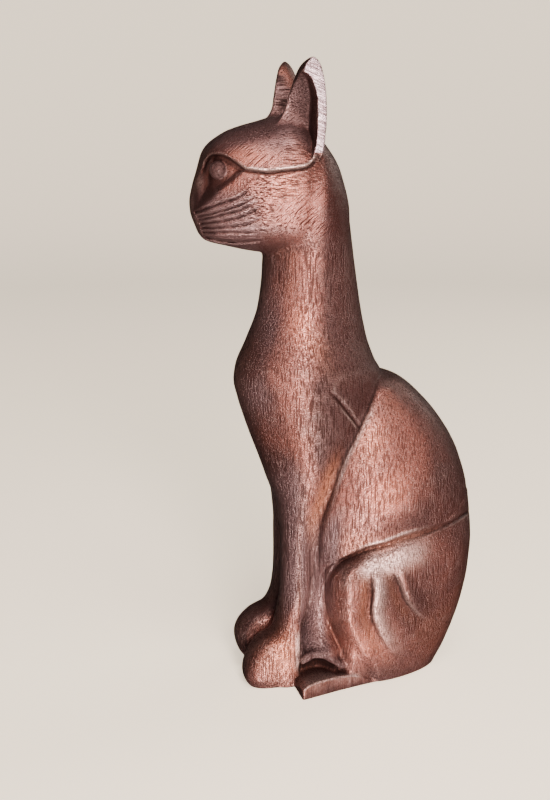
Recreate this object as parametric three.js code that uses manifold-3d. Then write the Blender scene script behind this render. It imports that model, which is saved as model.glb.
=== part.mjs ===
// A seated cat carved from one block of hardwood and rubbed to a copper-brown sheen.
// The cat faces -Y, its left side is +X, and it stands on the plane z = 0.
// Outlines and stations are shares of the figure's height; the sizes below are millimetres.
import * as THREE from 'three';
import { mergeVertices } from 'three/addons/utils/BufferGeometryUtils.js';
import Module from 'manifold-3d';

const figureHeight = 300;
const chestWidth = 62.4;
const flankWidth = 75.6;
const headWidth = 55.2;
const earSpan = 56.1;
const pawWidth = 22.2;
const hindFootSpan = 74.7;
const thighWaistDepth = 3.9;
const thighGrooveDepth = 2.0;
const slashDepth = 2.8;
const shoulderCutDepth = 3.3;
const bladeNickDepth = 1.4;
const browLipHeight = 1.3;
const browGrooveDepth = 1.3;
const eyeSocketDepth = 2.5;
const eyeballRadius = 4.2;
const webLipRadius = 1.6;
const tailRise = 2.1;
const sampleSpacing = 1.5;
const triangleGoal = 9400;

const share = (millimetres) => millimetres / figureHeight;

// Side outlines of the separate forms, as points (y, z).
const headOutline = [
  [-0.1296, 0.9128], [-0.1548, 0.9064], [-0.1784, 0.8999], [-0.2019, 0.8911], [-0.2223, 0.8775],
  [-0.2345, 0.8618], [-0.2435, 0.8379], [-0.2515, 0.8158], [-0.258, 0.79], [-0.2568, 0.7689],
  [-0.2508, 0.7504], [-0.243, 0.7349], [-0.2318, 0.7254], [-0.2034, 0.7185], [-0.1747, 0.7115],
  [-0.1442, 0.7061], [-0.105, 0.7], [-0.075, 0.701], [-0.052, 0.717], [-0.034, 0.745],
  [-0.026, 0.775], [-0.029, 0.8], [-0.037, 0.8315], [-0.0475, 0.8624], [-0.057, 0.885],
  [-0.08, 0.905], [-0.105, 0.914],
];
const earOutline = [
  [-0.13, 0.87], [-0.125, 0.9], [-0.1217, 0.915], [-0.118, 0.93], [-0.1145, 0.946], [-0.106, 0.9765],
  [-0.1, 0.99], [-0.0885, 1.0005], [-0.076, 0.989], [-0.069, 0.959], [-0.067, 0.923], [-0.069, 0.887],
  [-0.0745, 0.853], [-0.09, 0.85], [-0.11, 0.857],
];
// The hollow of the ear lies in front of this line, its flat rim behind it.
const earRimLine = [
  [-0.0925, 0.845], [-0.0865, 0.8645], [-0.0837, 0.876], [-0.0825, 0.8927], [-0.0817, 0.9094],
  [-0.0814, 0.928], [-0.0828, 0.9425], [-0.086, 0.9569], [-0.0916, 0.9702], [-0.0997, 0.9773],
  [-0.112, 0.985], [-0.13, 1.0],
];
const thighOutline = [
  [0.3, 0.35], [0.22, 0.318], [0.1652, 0.2886], [0.14, 0.2746], [0.0981, 0.2594], [0.0563, 0.2489],
  [0.0286, 0.2407], [0.001, 0.2361], [-0.0155, 0.2306], [-0.0395, 0.2205], [-0.053, 0.2075],
  [-0.06, 0.191], [-0.0615, 0.1713], [-0.0607, 0.1517], [-0.0575, 0.1261], [-0.048, 0.0969],
  [-0.036, 0.0729], [-0.02, 0.045], [0, 0.02], [0.02, -0.02], [0.1, -0.05], [0.3, -0.05],
];
const leftPawOutline = [
  [-0.095, 0.125], [-0.116, 0.12], [-0.126, 0.106], [-0.14, 0.091], [-0.159, 0.081], [-0.171, 0.067],
  [-0.181, 0.05], [-0.187, 0.028], [-0.185, 0.01], [-0.174, -0.004], [-0.15, -0.02], [-0.06, -0.02],
  [-0.05, 0.05], [-0.06, 0.11],
];
const rightPawOutline = [
  [-0.095, 0.13], [-0.116, 0.124], [-0.128, 0.111], [-0.156, 0.098], [-0.175, 0.079], [-0.183, 0.058],
  [-0.18, 0.034], [-0.168, 0.015], [-0.15, -0.006], [-0.12, -0.02], [-0.06, -0.02], [-0.05, 0.05],
  [-0.06, 0.11],
];

// Carved lines of the side, as points (y, z) in the order the tool ran.
const browLine = [
  [-0.2568, 0.8247], [-0.2523, 0.8372], [-0.2479, 0.8486], [-0.2424, 0.8558], [-0.2359, 0.8595],
  [-0.2288, 0.8605], [-0.2208, 0.8598], [-0.2133, 0.8566], [-0.2046, 0.8513], [-0.196, 0.845],
  [-0.1895, 0.8407], [-0.1847, 0.8381], [-0.1763, 0.8372], [-0.1588, 0.8349], [-0.15, 0.8344],
  [-0.1323, 0.8363], [-0.1101, 0.8382], [-0.0989, 0.8398], [-0.0922, 0.8414], [-0.0866, 0.845],
  [-0.0811, 0.8502], [-0.0771, 0.8555], [-0.0749, 0.8604],
];
// The eye socket runs forward and down into a shallow scoop beside the muzzle.
const eyeOutline = [
  [-0.1847, 0.8381], [-0.1895, 0.8407], [-0.196, 0.845], [-0.2046, 0.8513], [-0.2133, 0.8566],
  [-0.2208, 0.8598], [-0.2288, 0.8605], [-0.2359, 0.8595], [-0.2424, 0.8558], [-0.2479, 0.8486],
  [-0.2545, 0.8372], [-0.2585, 0.822], [-0.2605, 0.807], [-0.2625, 0.792], [-0.2645, 0.7765],
  [-0.253, 0.7848], [-0.2399, 0.7951], [-0.2268, 0.8054], [-0.2158, 0.8126], [-0.2071, 0.8188],
  [-0.1994, 0.8251], [-0.1917, 0.8313],
];
const nickOutline = [
  [-0.0712, 0.5064], [-0.0559, 0.4986], [-0.043, 0.4867], [-0.03, 0.4696], [-0.0207, 0.4538],
  [-0.0167, 0.444], [-0.0231, 0.4426], [-0.0323, 0.4545], [-0.0454, 0.4704], [-0.0583, 0.4887],
];
const shoulderLine = [
  [0.0166, 0.5375], [0.0149, 0.5309], [0.0112, 0.5155], [0.0074, 0.5026], [-0.0003, 0.482],
  [-0.0093, 0.4602], [-0.0185, 0.4409], [-0.0289, 0.4203], [-0.0394, 0.4024], [-0.0467, 0.3842],
  [-0.0525, 0.3686], [-0.0603, 0.345], [-0.0708, 0.3161], [-0.0781, 0.295], [-0.0806, 0.2652],
  [-0.0814, 0.2379], [-0.0838, 0.2147], [-0.0867, 0.1901],
];
const frontSlash = [
  [0.002, 0.2096], [0.0051, 0.1869], [0.005, 0.1645], [0.0034, 0.142], [0.0062, 0.1247], [0.013, 0.107],
  [0.0217, 0.0889], [0.0348, 0.0703], [0.0508, 0.0527], [0.0698, 0.0347],
];
const rearSlash = [
  [0.0399, 0.2068], [0.047, 0.1887], [0.0538, 0.1712], [0.0613, 0.1535], [0.073, 0.1367],
  [0.0861, 0.1225], [0.1006, 0.1139], [0.118, 0.1073],
];
const webLipLine = [
  [-0.1, 0.054], [-0.0875, 0.0615], [-0.075, 0.0625], [-0.0615, 0.058], [-0.0475, 0.048], [-0.034, 0.038],
];
const tailLine = [[0.168, 0.052], [0.12, 0.05], [0.07, 0.042], [0.02, 0.036], [-0.02, 0.04], [-0.045, 0.052]];

// A smooth curve through stations (t, value) that never swings past them.
function stations(list) {
  const slopes = list.slice(1).map((point, i) => (point[1] - list[i][1]) / (point[0] - list[i][0]));
  const tangents = list.map((point, i) => {
    if (i === 0) return slopes[0];
    if (i === list.length - 1) return slopes[i - 1];
    if (slopes[i - 1] * slopes[i] <= 0) return 0;
    return (2 * slopes[i - 1] * slopes[i]) / (slopes[i - 1] + slopes[i]);
  });
  return (t) => {
    const at = Math.min(Math.max(t, list[0][0]), list[list.length - 1][0]);
    let i = 0;
    while (i < list.length - 2 && at > list[i + 1][0]) i += 1;
    const span = list[i + 1][0] - list[i][0];
    const u = (at - list[i][0]) / span;
    const rise = list[i + 1][1] - list[i][1];
    const start = u * (1 - u) * (1 - u) * span * tangents[i];
    const end = u * u * (u - 1) * span * tangents[i + 1];
    return list[i][1] + rise * u * u * (3 - 2 * u) + start + end;
  };
}

// Points along a smooth line through the given points.
function smoothLine(points, closed) {
  const curve = new THREE.CatmullRomCurve3(
    points.map(([y, z]) => new THREE.Vector3(0, y, z)),
    closed,
    'catmullrom',
    0.5,
  );
  const pieces = points.length * 4;
  const line = curve.getPoints(pieces).map((point) => [point.y, point.z]);
  return closed ? line.slice(0, pieces) : line;
}

// Distance to a line, the side of it (1 on the left of its run) and the share of its run.
function nearLine(y, z, line, closed) {
  const last = closed ? line.length : line.length - 1;
  let best = Infinity;
  let side = 1;
  let run = 0;
  for (let i = 0; i < last; i += 1) {
    const [ay, az] = line[i];
    const [by, bz] = line[(i + 1) % line.length];
    const ey = by - ay;
    const ez = bz - az;
    const u = THREE.MathUtils.clamp(((y - ay) * ey + (z - az) * ez) / (ey * ey + ez * ez), 0, 1);
    const distance = Math.hypot(y - ay - u * ey, z - az - u * ez);
    if (distance < best) {
      best = distance;
      side = ey * (z - az) - ez * (y - ay) > 0 ? 1 : -1;
      run = (i + u) / last;
    }
  }
  return { distance: best, side, run };
}

// How deep a point lies inside a closed outline; below zero outside it.
function depthInside(y, z, outline) {
  let within = false;
  outline.forEach(([y1, z1], i) => {
    const [y0, z0] = outline[(i + outline.length - 1) % outline.length];
    if (z0 > z !== z1 > z && y < ((y1 - y0) * (z - z0)) / (z1 - z0) + y0) within = !within;
  });
  const { distance } = nearLine(y, z, outline, true);
  return within ? distance : -distance;
}

// Joins or cuts two forms with a fillet about as wide as the blend.
function join(a, b, blend) {
  const overlap = Math.max(blend - Math.abs(a - b), 0) / blend;
  return Math.min(a, b) - (overlap * overlap * blend) / 4;
}
const cut = (a, b, blend) => -join(-a, -b, blend);
const ramp = (from, to, value) => {
  const u = THREE.MathUtils.clamp((value - from) / (to - from), 0, 1);
  return u * u * (3 - 2 * u);
};
const bell = (distance, width) => Math.exp(-((distance / width) ** 2));
const rounded = (power, ...parts) => (
  parts.reduce((sum, part) => sum + Math.abs(part) ** power, 0) ** (1 / power)
);

// Front and back profiles and half widths of the neck and chest, by height.
const chestFront = stations([
  [0, -0.085], [0.2, -0.086], [0.26, -0.098], [0.3166, -0.126], [0.377, -0.15], [0.4198, -0.166],
  [0.4703, -0.1825], [0.5033, -0.1893], [0.5275, -0.186], [0.5671, -0.169], [0.6145, -0.151],
  [0.662, -0.144], [0.7, -0.1415], [0.76, -0.125], [0.82, -0.11],
]);
const chestBack = stations([
  [0, 0], [0.2, 0], [0.35, 0.01], [0.45, 0.045], [0.5112, 0.0495], [0.5333, 0.0388], [0.5669, 0.026],
  [0.6246, 0.0133], [0.6572, 0.008], [0.7214, -0.001], [0.7704, -0.01], [0.8, -0.0185],
  [0.8315, -0.03], [0.8624, -0.0428], [0.9, -0.07],
]);
const chestHalf = stations([
  [0, 0.48], [0.2, 0.51], [0.26, 0.654], [0.32, 0.827], [0.4, 0.96], [0.46, 1], [0.52, 0.92], [0.58, 0.77],
  [0.64, 0.67], [0.7, 0.65], [0.78, 0.68], [0.86, 0.58],
]);
// The back and flank are egg-shaped in plan: front limit, widest place, rear limit and half width.
const flankFront = stations([
  [0, -0.04], [0.1, -0.05], [0.15, -0.065], [0.2, -0.081], [0.3, -0.115], [0.34, -0.107], [0.4, -0.106],
  [0.456, -0.1], [0.5, -0.06], [0.53, -0.03],
]);
const flankWidest = stations([
  [0, -0.02], [0.1, -0.01], [0.2, 0.02], [0.3, 0.05], [0.34, 0.045], [0.4, 0.035], [0.456, 0.03], [0.5, 0.03],
  [0.53, 0.02],
]);
const flankRear = stations([
  [0, 0.155], [0.0396, 0.174], [0.1111, 0.1985], [0.1652, 0.2085], [0.2374, 0.213], [0.3097, 0.204],
  [0.3637, 0.189], [0.4031, 0.1705], [0.4354, 0.149], [0.4675, 0.1215], [0.4926, 0.094], [0.5035, 0.077],
  [0.5112, 0.054], [0.53, 0.03],
]);
const flankHalf = stations([
  [0, 0.675], [0.03, 0.754], [0.06, 0.825], [0.1, 0.901], [0.2, 1], [0.3, 0.968], [0.34, 0.937],
  [0.4, 0.857], [0.456, 0.762], [0.49, 0.619], [0.51, 0.46], [0.53, 0.317],
]);
// The web between foreleg and thigh, its half width as a part of the flank's, flares above the hind foot.
const webHalf = stations([
  [0, 0.675], [0.035, 0.73], [0.055, 0.794], [0.064, 0.794], [0.075, 0.706], [0.09, 0.611], [0.11, 0.556],
  [0.14, 0.524], [0.18, 0.508], [0.25, 0.556],
]);
const webDepth = stations([
  [0, 0.05], [0.06, 0.048], [0.09, 0.037], [0.12, 0.032], [0.2, 0.035], [0.25, 0.04],
]);
const legMiddle = stations([
  [0, -0.118], [0.1, -0.1135], [0.12, -0.108], [0.14, -0.103], [0.165, -0.0995], [0.21, -0.0975],
  [0.3, -0.097], [0.4, -0.1],
]);
const legDepth = stations([
  [0, 0.02], [0.1, 0.021], [0.12, 0.022], [0.14, 0.023], [0.165, 0.0238], [0.21, 0.0255], [0.3, 0.027],
  [0.4, 0.045],
]);
const legHalf = stations([[0, 0.032], [0.1, 0.034], [0.2, 0.036], [0.3, 0.042], [0.4, 0.046]]);
const pawHalf = stations([[0, 0.73], [0.02, 0.92], [0.05, 1], [0.09, 0.92], [0.13, 0.81]]);
const hindFootSide = stations([[-0.111, 1], [-0.0776, 0.92], [-0.0467, 0.84], [0.003, 0.734], [0.05, 0.643]]);
const hindFootTop = stations([
  [-0.12, 0.013], [-0.108, 0.0165], [-0.096, 0.0225], [-0.066, 0.025], [-0.035, 0.0235], [-0.001, 0.0165],
  [0.012, 0.008], [0.03, 0],
]);
// Half width of the head from muzzle to nape, its taper from jaw to crown, and how soon it rounds over.
const headPlan = stations([
  [-0.26, 0.33], [-0.25, 0.46], [-0.24, 0.55], [-0.22, 0.7], [-0.2, 0.8], [-0.18, 0.89], [-0.14, 0.98],
  [-0.1, 1], [-0.07, 0.945], [-0.04, 0.83], [0, 0.67],
]);
const headTaper = stations([
  [0.7, 0.74], [0.72, 0.84], [0.75, 0.91], [0.79, 0.97], [0.83, 1], [0.87, 0.97], [0.9, 0.9], [0.92, 0.85],
]);
const headRounding = stations([[-0.26, 0.018], [-0.22, 0.032], [-0.17, 0.05], [-0.1, 0.06]]);
// Each ear's outer face and inner face, as parts of half the ear span, and its front edge.
const earFace = stations([[0.83, 0.984], [0.9, 1], [0.95, 0.979], [1, 0.941]]);
const earInner = stations([
  [0.83, 0.214], [0.87, 0.3], [0.9, 0.364], [0.93, 0.412], [0.946, 0.46], [0.9765, 0.588], [0.99, 0.684],
  [1, 0.77],
]);
const earFront = stations([
  [0.83, -0.14], [0.9, -0.125], [0.915, -0.1217], [0.93, -0.118], [0.946, -0.1145], [0.9765, -0.106],
  [0.99, -0.1], [1, -0.09],
]);

const head = smoothLine(headOutline, true);
const ear = smoothLine(earOutline, true);
const earRim = smoothLine(earRimLine, false);
const thigh = smoothLine(thighOutline, true);
const thighEdge = smoothLine(thighOutline.slice(1, 18), false);
const leftPaw = smoothLine(leftPawOutline, true);
const rightPaw = smoothLine(rightPawOutline, true);
const brow = smoothLine(browLine, false);
const eye = smoothLine(eyeOutline, true);
const nick = smoothLine(nickOutline, true);
const shoulder = smoothLine(shoulderLine, false);
const slashes = [
  { line: smoothLine(frontSlash, false), depth: share(slashDepth), gentle: 0.021, finish: 0.3 },
  { line: smoothLine(rearSlash, false), depth: share(slashDepth) * 0.9, gentle: 0.026, finish: 0.4 },
];
const webLip = smoothLine(webLipLine, false);
const tail = smoothLine(tailLine, false);

// A gouge cut is steep on one side of its line and slopes in gently from the other.
function gouge(y, z, { line, depth, gentle, finish }) {
  const { distance, side, run } = nearLine(y, z, line, false);
  const width = side > 0 ? 0.0036 : gentle * (0.35 + 0.65 * Math.min(run * 2, 1));
  const fade = ramp(0, 0.1, run) * (1 - ramp(0.45, 0.95, run));
  const beside = 0.003 * fade * bell(distance * side - 0.013, 0.009);
  return beside - depth * ramp(0, 0.22, run) * (1 - ramp(finish, 1, run)) * bell(distance, width);
}

function headCarving(y, z) {
  const edge = nearLine(y, z, brow, false);
  const above = edge.distance * edge.side;
  const along = ramp(0, 0.12, edge.run) * (1 - ramp(0.97, 1, edge.run));
  const cheek = ramp(0.3, 0.55, edge.run);
  const lip = above > -0.001 ? bell(Math.max(above, 0), 0.017) : bell(above + 0.001, 0.0015);
  let rise = share(browLipHeight) * (0.45 + 0.55 * cheek) * lip;
  rise -= share(browGrooveDepth) * (0.6 + 0.4 * cheek) * bell(above + 0.0034, 0.0032);
  if (above < 0) rise -= 0.0025 * ramp(0.2, 0.7, edge.run) * bell(above, 0.03);
  return along * rise - share(eyeSocketDepth) * ramp(-0.001, 0.009, depthInside(y, z, eye));
}

// The thigh stands out below a waist in the flank, with a flat-floored groove along its top edge.
function thighCarving(y, z) {
  const outside = -depthInside(y, z, thigh);
  const { run } = nearLine(y, z, thighEdge, false);
  const waist = (1 - ramp(0.5, 0.7, run)) * (1 - ramp(0.12, 0.2, y));
  const width = 0.008 + 0.006 * ramp(0.05, 0.35, run);
  const t = outside / width;
  const along = ramp(0, 0.1, run) * (1 - ramp(0.66, 0.84, run)) * (1 - ramp(0.18, 0.212, y));
  const wall = 0.42 + 0.3 * ramp(0.25, 0.45, run);
  const floor = ramp(0, wall, t) * (1 - ramp(wall + 0.02, 1.04, t));
  let rise = -share(thighWaistDepth) * waist * bell(outside - 0.006, 0.034);
  rise -= share(thighGrooveDepth) * (0.5 + 0.5 * ramp(0.25, 0.5, run)) * along * floor;
  slashes.forEach((slash) => {
    rise += gouge(y, z, slash);
  });
  return rise;
}

// The flank overlaps the shoulder along one long cut that fades out beside the thigh.
function shoulderCarving(y, z) {
  const { distance, side, run } = nearLine(y, z, shoulder, false);
  const reach = side < 0 ? 0.022 : 0.008;
  const deep = 0.35 * ramp(0, 0.12, run) + 0.45 * ramp(0.25, 0.6, run) - 0.55 * ramp(0.75, 0.88, run);
  const rise = -share(shoulderCutDepth) * deep * (1 - ramp(0.88, 1, run)) * Math.exp(-distance / reach);
  return rise - share(bladeNickDepth) * ramp(-0.0005, 0.006, depthInside(y, z, nick));
}

// How far the carving stands out from the side of the figure; below zero where it is cut in.
function carving(y, z) {
  let rise = 0;
  if (z > 0.7) rise += headCarving(y, z);
  if (z < 0.42) rise += thighCarving(y, z);
  if (z > 0.15 && z < 0.58) rise += shoulderCarving(y, z);
  return rise;
}

// The side depths that every point of one line across the figure shares.
function sideAt(y, z) {
  const rimward = nearLine(y, z, earRim, false);
  const lip = nearLine(y, z, webLip, false);
  return {
    thighDepth: depthInside(y, z, thigh),
    leftPawDepth: depthInside(y, z, leftPaw),
    rightPawDepth: depthInside(y, z, rightPaw),
    headDepth: depthInside(y, z, head),
    earDepth: depthInside(y, z, ear),
    beforeRim: rimward.distance * rimward.side,
    toLip: lip.distance,
    lipRun: lip.run,
  };
}

// The forelegs stand side by side; the right one is a little further back.
const legPlace = 0.0405;
const rightLegBack = 0.008;

// The figure without its carving: below zero is wood.
function form(x, y, z, side) {
  const across = Math.abs(x);

  const front = chestFront(z);
  const back = chestBack(z);
  const depth = (back - front) / 2;
  const half = chestHalf(z) * share(chestWidth / 2);
  const slice = rounded(2.15, across / half, (y - (front + back) / 2) / depth);
  let wood = cut((slice - 1) * Math.min(half, depth), z - 0.86, 0.04);

  const flankShare = share(flankWidth / 2);
  const widest = flankWidest(z);
  const flank = flankHalf(z) * flankShare;
  const reach = y > widest ? Math.max(flankRear(z) - widest, 0.004) : Math.max(widest - flankFront(z), 0.01);
  const flankRing = rounded(2.05, across / flank, (y - widest) / reach);
  wood = join(wood, cut((flankRing - 1) * flank * 0.6, z - 0.522, 0.03), 0.004);

  const knee = ramp(0.24, 0.17, z);
  const edge = Math.max(1 - (side.thighDepth + 0.002 + 0.01 * (1 - knee)) / (0.022 + 0.010 * knee), 0);
  const thighHalf = flank * (1 + 0.05 * (1 - ramp(0.05, 0.17, y)));
  const behind = Math.max((y - widest) / Math.max(flankRear(z) - widest, 0.004), 0);
  const thighForm = rounded(2.05, across / thighHalf, behind, edge ** (2.2 / 2.05));
  wood = join(wood, (thighForm - 1) * 0.06, 0.003);

  const web = rounded(2, across / (webHalf(z) * flankShare), (y + 0.062) / webDepth(z));
  wood = join(wood, cut((web - 1) * 0.05, z - 0.24, 0.03), 0.01);

  const legY = legMiddle(z) + (x < 0 ? rightLegBack * ramp(0.08, 0.14, z) : 0);
  const legRing = rounded(2.2, (across - legPlace) / legHalf(z), (y - legY) / legDepth(z));
  const legBlend = 0.006 + 0.016 * ramp(0.2, 0.34, z);
  wood = join(wood, cut((legRing - 1) * legDepth(z), z - 0.4, 0.08), legBlend);

  const pawDepth = x > 0 ? side.leftPawDepth : side.rightPawDepth;
  const toe = Math.max(1 - pawDepth / 0.03, 0);
  const pawSide = (across - legPlace) / (pawHalf(z) * share(pawWidth / 2));
  wood = join(wood, cut((rounded(2.7, pawSide, toe) - 1) * 0.034, y + 0.1, 0.004), 0.006);

  // The hind foot lies flat under a hollow that the web's rolled lip overhangs.
  if (z < 0.12) {
    const outward = (across - 0.857 * flankShare) / (0.397 * flankShare);
    const hollow = (rounded(2, outward, (y + 0.075) / 0.037, (z - 0.032) / 0.028) - 1) * 0.025;
    wood = cut(wood, -hollow, 0.003);
    const toLip = Math.hypot(side.toLip, across - (0.738 - 0.03 * side.lipRun) * flankShare);
    wood = join(wood, toLip - share(webLipRadius) * (1 + 0.25 * Math.sin(side.lipRun * 8) ** 2), 0.006);
  }
  const footSide = hindFootSide(y) * share(hindFootSpan / 2);
  const foot = cut(cut(Math.abs(y + 0.0285) - 0.0795, across - footSide, 0.004), z - hindFootTop(y), 0.004);
  wood = join(wood, foot, 0.003);

  const skull = Math.max(1 - side.headDepth / headRounding(y), 0);
  const headHalf = headPlan(y) * headTaper(z) * share(headWidth / 2);
  const nape = 0.01 + 0.03 * ramp(0.025, 0.05, across) * ramp(-0.11, -0.05, y);
  wood = join(wood, (rounded(2.1, across / headHalf, skull) - 1) * 0.05, nape);

  if (z > 0.82) {
    const earShare = share(earSpan / 2);
    const face = earFace(z) * earShare;
    const inner = earInner(z) * earShare;
    const hollowFloor = inner + 0.005 + 0.017 * (1 - ramp(0, 0.036, side.beforeRim));
    const dip = Math.max(face - hollowFloor, 0) * ramp(-0.0005, 0.0035, side.beforeRim);
    const frontSlope = x < 0 ? 0.4 : 0.06;
    const frontEdge = earFront(z) + frontSlope * (across - inner - 0.006);
    let earForm = cut(-side.earDepth, inner - across, 0.004 + 0.016 * ramp(-0.1, -0.085, y));
    earForm = cut(cut(earForm, across - (face - dip), 0.003), frontEdge - y, 0.003);
    wood = join(wood, earForm, 0.004 + 0.014 * ramp(0.003, 0.02, side.beforeRim));
  }
  return wood;
}

// The form is sampled on an even grid of points that reaches a little past it on every side.
const spacing = share(sampleSpacing);
const marginSamples = 5;
const widestHalf = Math.max(1.05 * flankWidth, headWidth, earSpan, hindFootSpan, chestWidth) / 2;
const widthReach = share(widestHalf) + marginSamples * spacing;
const grid = {
  x: -widthReach,
  y: -0.275,
  z: -0.02,
  nx: Math.ceil((2 * widthReach) / spacing) + 1,
  ny: Math.ceil(0.52 / spacing) + 1,
  nz: Math.ceil(1.04 / spacing) + 1,
};
const cellIndex = (i, j, k) => (k * grid.ny + j) * grid.nx + i;
const wood = new Float64Array(grid.nx * grid.ny * grid.nz);
for (let k = 0; k < grid.nz; k += 1) {
  const z = grid.z + k * spacing;
  for (let j = 0; j < grid.ny; j += 1) {
    const y = grid.y + j * spacing;
    const side = sideAt(y, z);
    for (let i = 0; i < grid.nx; i += 1) {
      wood[cellIndex(i, j, k)] = form(grid.x + i * spacing, y, z, side);
    }
  }
}

// The carved lines are drawn on an upright plane at each side of the figure and laid onto the
// wood from a place out to its side, a little forward and high up.
const laidFrom = new THREE.Vector3(1.9636, -0.6128, 0.923);
const headPlane = 0.07;
const bodyPlane = 0.12;
const drawing = {
  y: -0.34,
  z: -0.06,
  ny: Math.ceil(0.66 / spacing) + 1,
  nz: Math.ceil(1.12 / spacing) + 1,
};
const relief = new Float64Array(drawing.ny * drawing.nz);
for (let k = 0; k < drawing.nz; k += 1) {
  for (let j = 0; j < drawing.ny; j += 1) {
    relief[k * drawing.ny + j] = carving(drawing.y + j * spacing, drawing.z + k * spacing);
  }
}
function laidRelief(x, y, z) {
  const plane = z > 0.6 ? headPlane : bodyPlane;
  const part = (Math.abs(x) - plane) / (laidFrom.x - plane);
  const row = ((y - part * laidFrom.y) / (1 - part) - drawing.y) / spacing;
  const column = ((z - part * laidFrom.z) / (1 - part) - drawing.z) / spacing;
  const j = THREE.MathUtils.clamp(Math.floor(row), 0, drawing.ny - 2);
  const k = THREE.MathUtils.clamp(Math.floor(column), 0, drawing.nz - 2);
  const at = (dj, dk) => relief[(k + dk) * drawing.ny + j + dj];
  const low = THREE.MathUtils.lerp(at(0, 0), at(1, 0), row - j);
  const high = THREE.MathUtils.lerp(at(0, 1), at(1, 1), row - j);
  return THREE.MathUtils.lerp(low, high, column - k);
}

const eyeCentre = new THREE.Vector3(0.0475, -0.2228, 0.8358);
const inner = (index, count) => Math.min(Math.max(index, 1), count - 2);
const carved = wood.map((value, index) => {
  const i = index % grid.nx;
  const j = Math.floor(index / grid.nx) % grid.ny;
  const k = Math.floor(index / (grid.nx * grid.ny));
  const a = inner(i, grid.nx);
  const b = inner(j, grid.ny);
  const c = inner(k, grid.nz);
  const slopeX = (wood[cellIndex(a + 1, b, c)] - wood[cellIndex(a - 1, b, c)]) / (2 * spacing);
  const slopeY = (wood[cellIndex(a, b + 1, c)] - wood[cellIndex(a, b - 1, c)]) / (2 * spacing);
  const slopeZ = (wood[cellIndex(a, b, c + 1)] - wood[cellIndex(a, b, c - 1)]) / (2 * spacing);
  const slope = Math.max(Math.hypot(slopeX, slopeY, slopeZ), 1e-6);
  const sideways = Math.abs(slopeX) / slope;
  const x = grid.x + i * spacing;
  const y = grid.y + j * spacing;
  const z = grid.z + k * spacing;
  let rise = laidRelief(x, y, z) * (z > 0.6 ? ramp(0.03, 0.24, sideways) : ramp(0.08, 0.4, sideways));
  // The tail lies along the right side only.
  if (x < 0 && z < 0.12) {
    const along = nearLine(y, z, tail, false);
    rise += share(tailRise) * ramp(0.016, 0.008, along.distance) * ramp(0.1, 0.4, sideways);
  }
  const surface = value / THREE.MathUtils.clamp(slope, 0.35, 4) - rise;
  const ball = new THREE.Vector3(Math.abs(x), y, z).distanceTo(eyeCentre) - share(eyeballRadius);
  const margin = Math.min(i, j, k, grid.nx - 1 - i, grid.ny - 1 - j, grid.nz - 1 - k);
  return margin < 2 ? spacing : Math.min(surface, ball);
});

// One vertex in each cell that the surface crosses, one pair of triangles for each edge it crosses.
function skin(values) {
  const points = [];
  const triangles = [];
  const owner = new Int32Array(values.length).fill(-1);
  const corners = [0, 1, 2, 3, 4, 5, 6, 7].map((n) => [n & 1, (n >> 1) & 1, n >> 2]);
  const edges = [];
  corners.forEach((from, a) => {
    corners.forEach((to, b) => {
      if (a < b && Math.abs(from[0] - to[0]) + Math.abs(from[1] - to[1]) + Math.abs(from[2] - to[2]) === 1) {
        edges.push([a, b]);
      }
    });
  });
  for (let k = 0; k < grid.nz - 1; k += 1) {
    for (let j = 0; j < grid.ny - 1; j += 1) {
      for (let i = 0; i < grid.nx - 1; i += 1) {
        const at = corners.map(([dx, dy, dz]) => values[cellIndex(i + dx, j + dy, k + dz)]);
        const sum = [0, 0, 0];
        let crossings = 0;
        edges.forEach(([a, b]) => {
          if (at[a] < 0 === at[b] < 0) return;
          const u = at[a] / (at[a] - at[b]);
          sum.forEach((value, axis) => {
            sum[axis] = value + corners[a][axis] + u * (corners[b][axis] - corners[a][axis]);
          });
          crossings += 1;
        });
        if (crossings > 0) {
          owner[cellIndex(i, j, k)] = points.length / 3;
          points.push(
            grid.x + (i + sum[0] / crossings) * spacing,
            grid.y + (j + sum[1] / crossings) * spacing,
            grid.z + (k + sum[2] / crossings) * spacing,
          );
        }
      }
    }
  }
  const steps = [[1, 0, 0], [0, 1, 0], [0, 0, 1]];
  for (let k = 1; k < grid.nz - 1; k += 1) {
    for (let j = 1; j < grid.ny - 1; j += 1) {
      for (let i = 1; i < grid.nx - 1; i += 1) {
        const here = values[cellIndex(i, j, k)] < 0;
        steps.forEach((step, axis) => {
          const there = values[cellIndex(i + step[0], j + step[1], k + step[2])] < 0;
          if (here === there) return;
          const p = steps[(axis + 1) % 3];
          const q = steps[(axis + 2) % 3];
          const around = [[0, 0], [1, 0], [1, 1], [0, 1]].map(([m, n]) => (
            owner[cellIndex(i - m * p[0] - n * q[0], j - m * p[1] - n * q[1], k - m * p[2] - n * q[2])]
          ));
          if (!here) around.reverse();
          triangles.push(around[0], around[1], around[2], around[0], around[2], around[3]);
        });
      }
    }
  }
  return { points, triangles };
}

const wasm = await Module();
wasm.setup();

function solidOf(points, triangles) {
  const vertProperties = new Float32Array(points);
  const triVerts = new Uint32Array(triangles);
  return new wasm.Manifold(new wasm.Mesh({ numProp: 3, vertProperties, triVerts }));
}

function solidOfGeometry(geometry) {
  geometry.deleteAttribute('normal');
  geometry.deleteAttribute('uv');
  const merged = mergeVertices(geometry);
  return solidOf(merged.attributes.position.array, merged.index.array);
}

const blank = skin(carved);
const body = solidOf(blank.points.map((value) => value * figureHeight), blank.triangles);
const below = new THREE.BoxGeometry(figureHeight, figureHeight, figureHeight);
below.translate(0, 0, -figureHeight / 2);
const sawn = body.subtract(solidOfGeometry(below)).getMesh();

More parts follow.
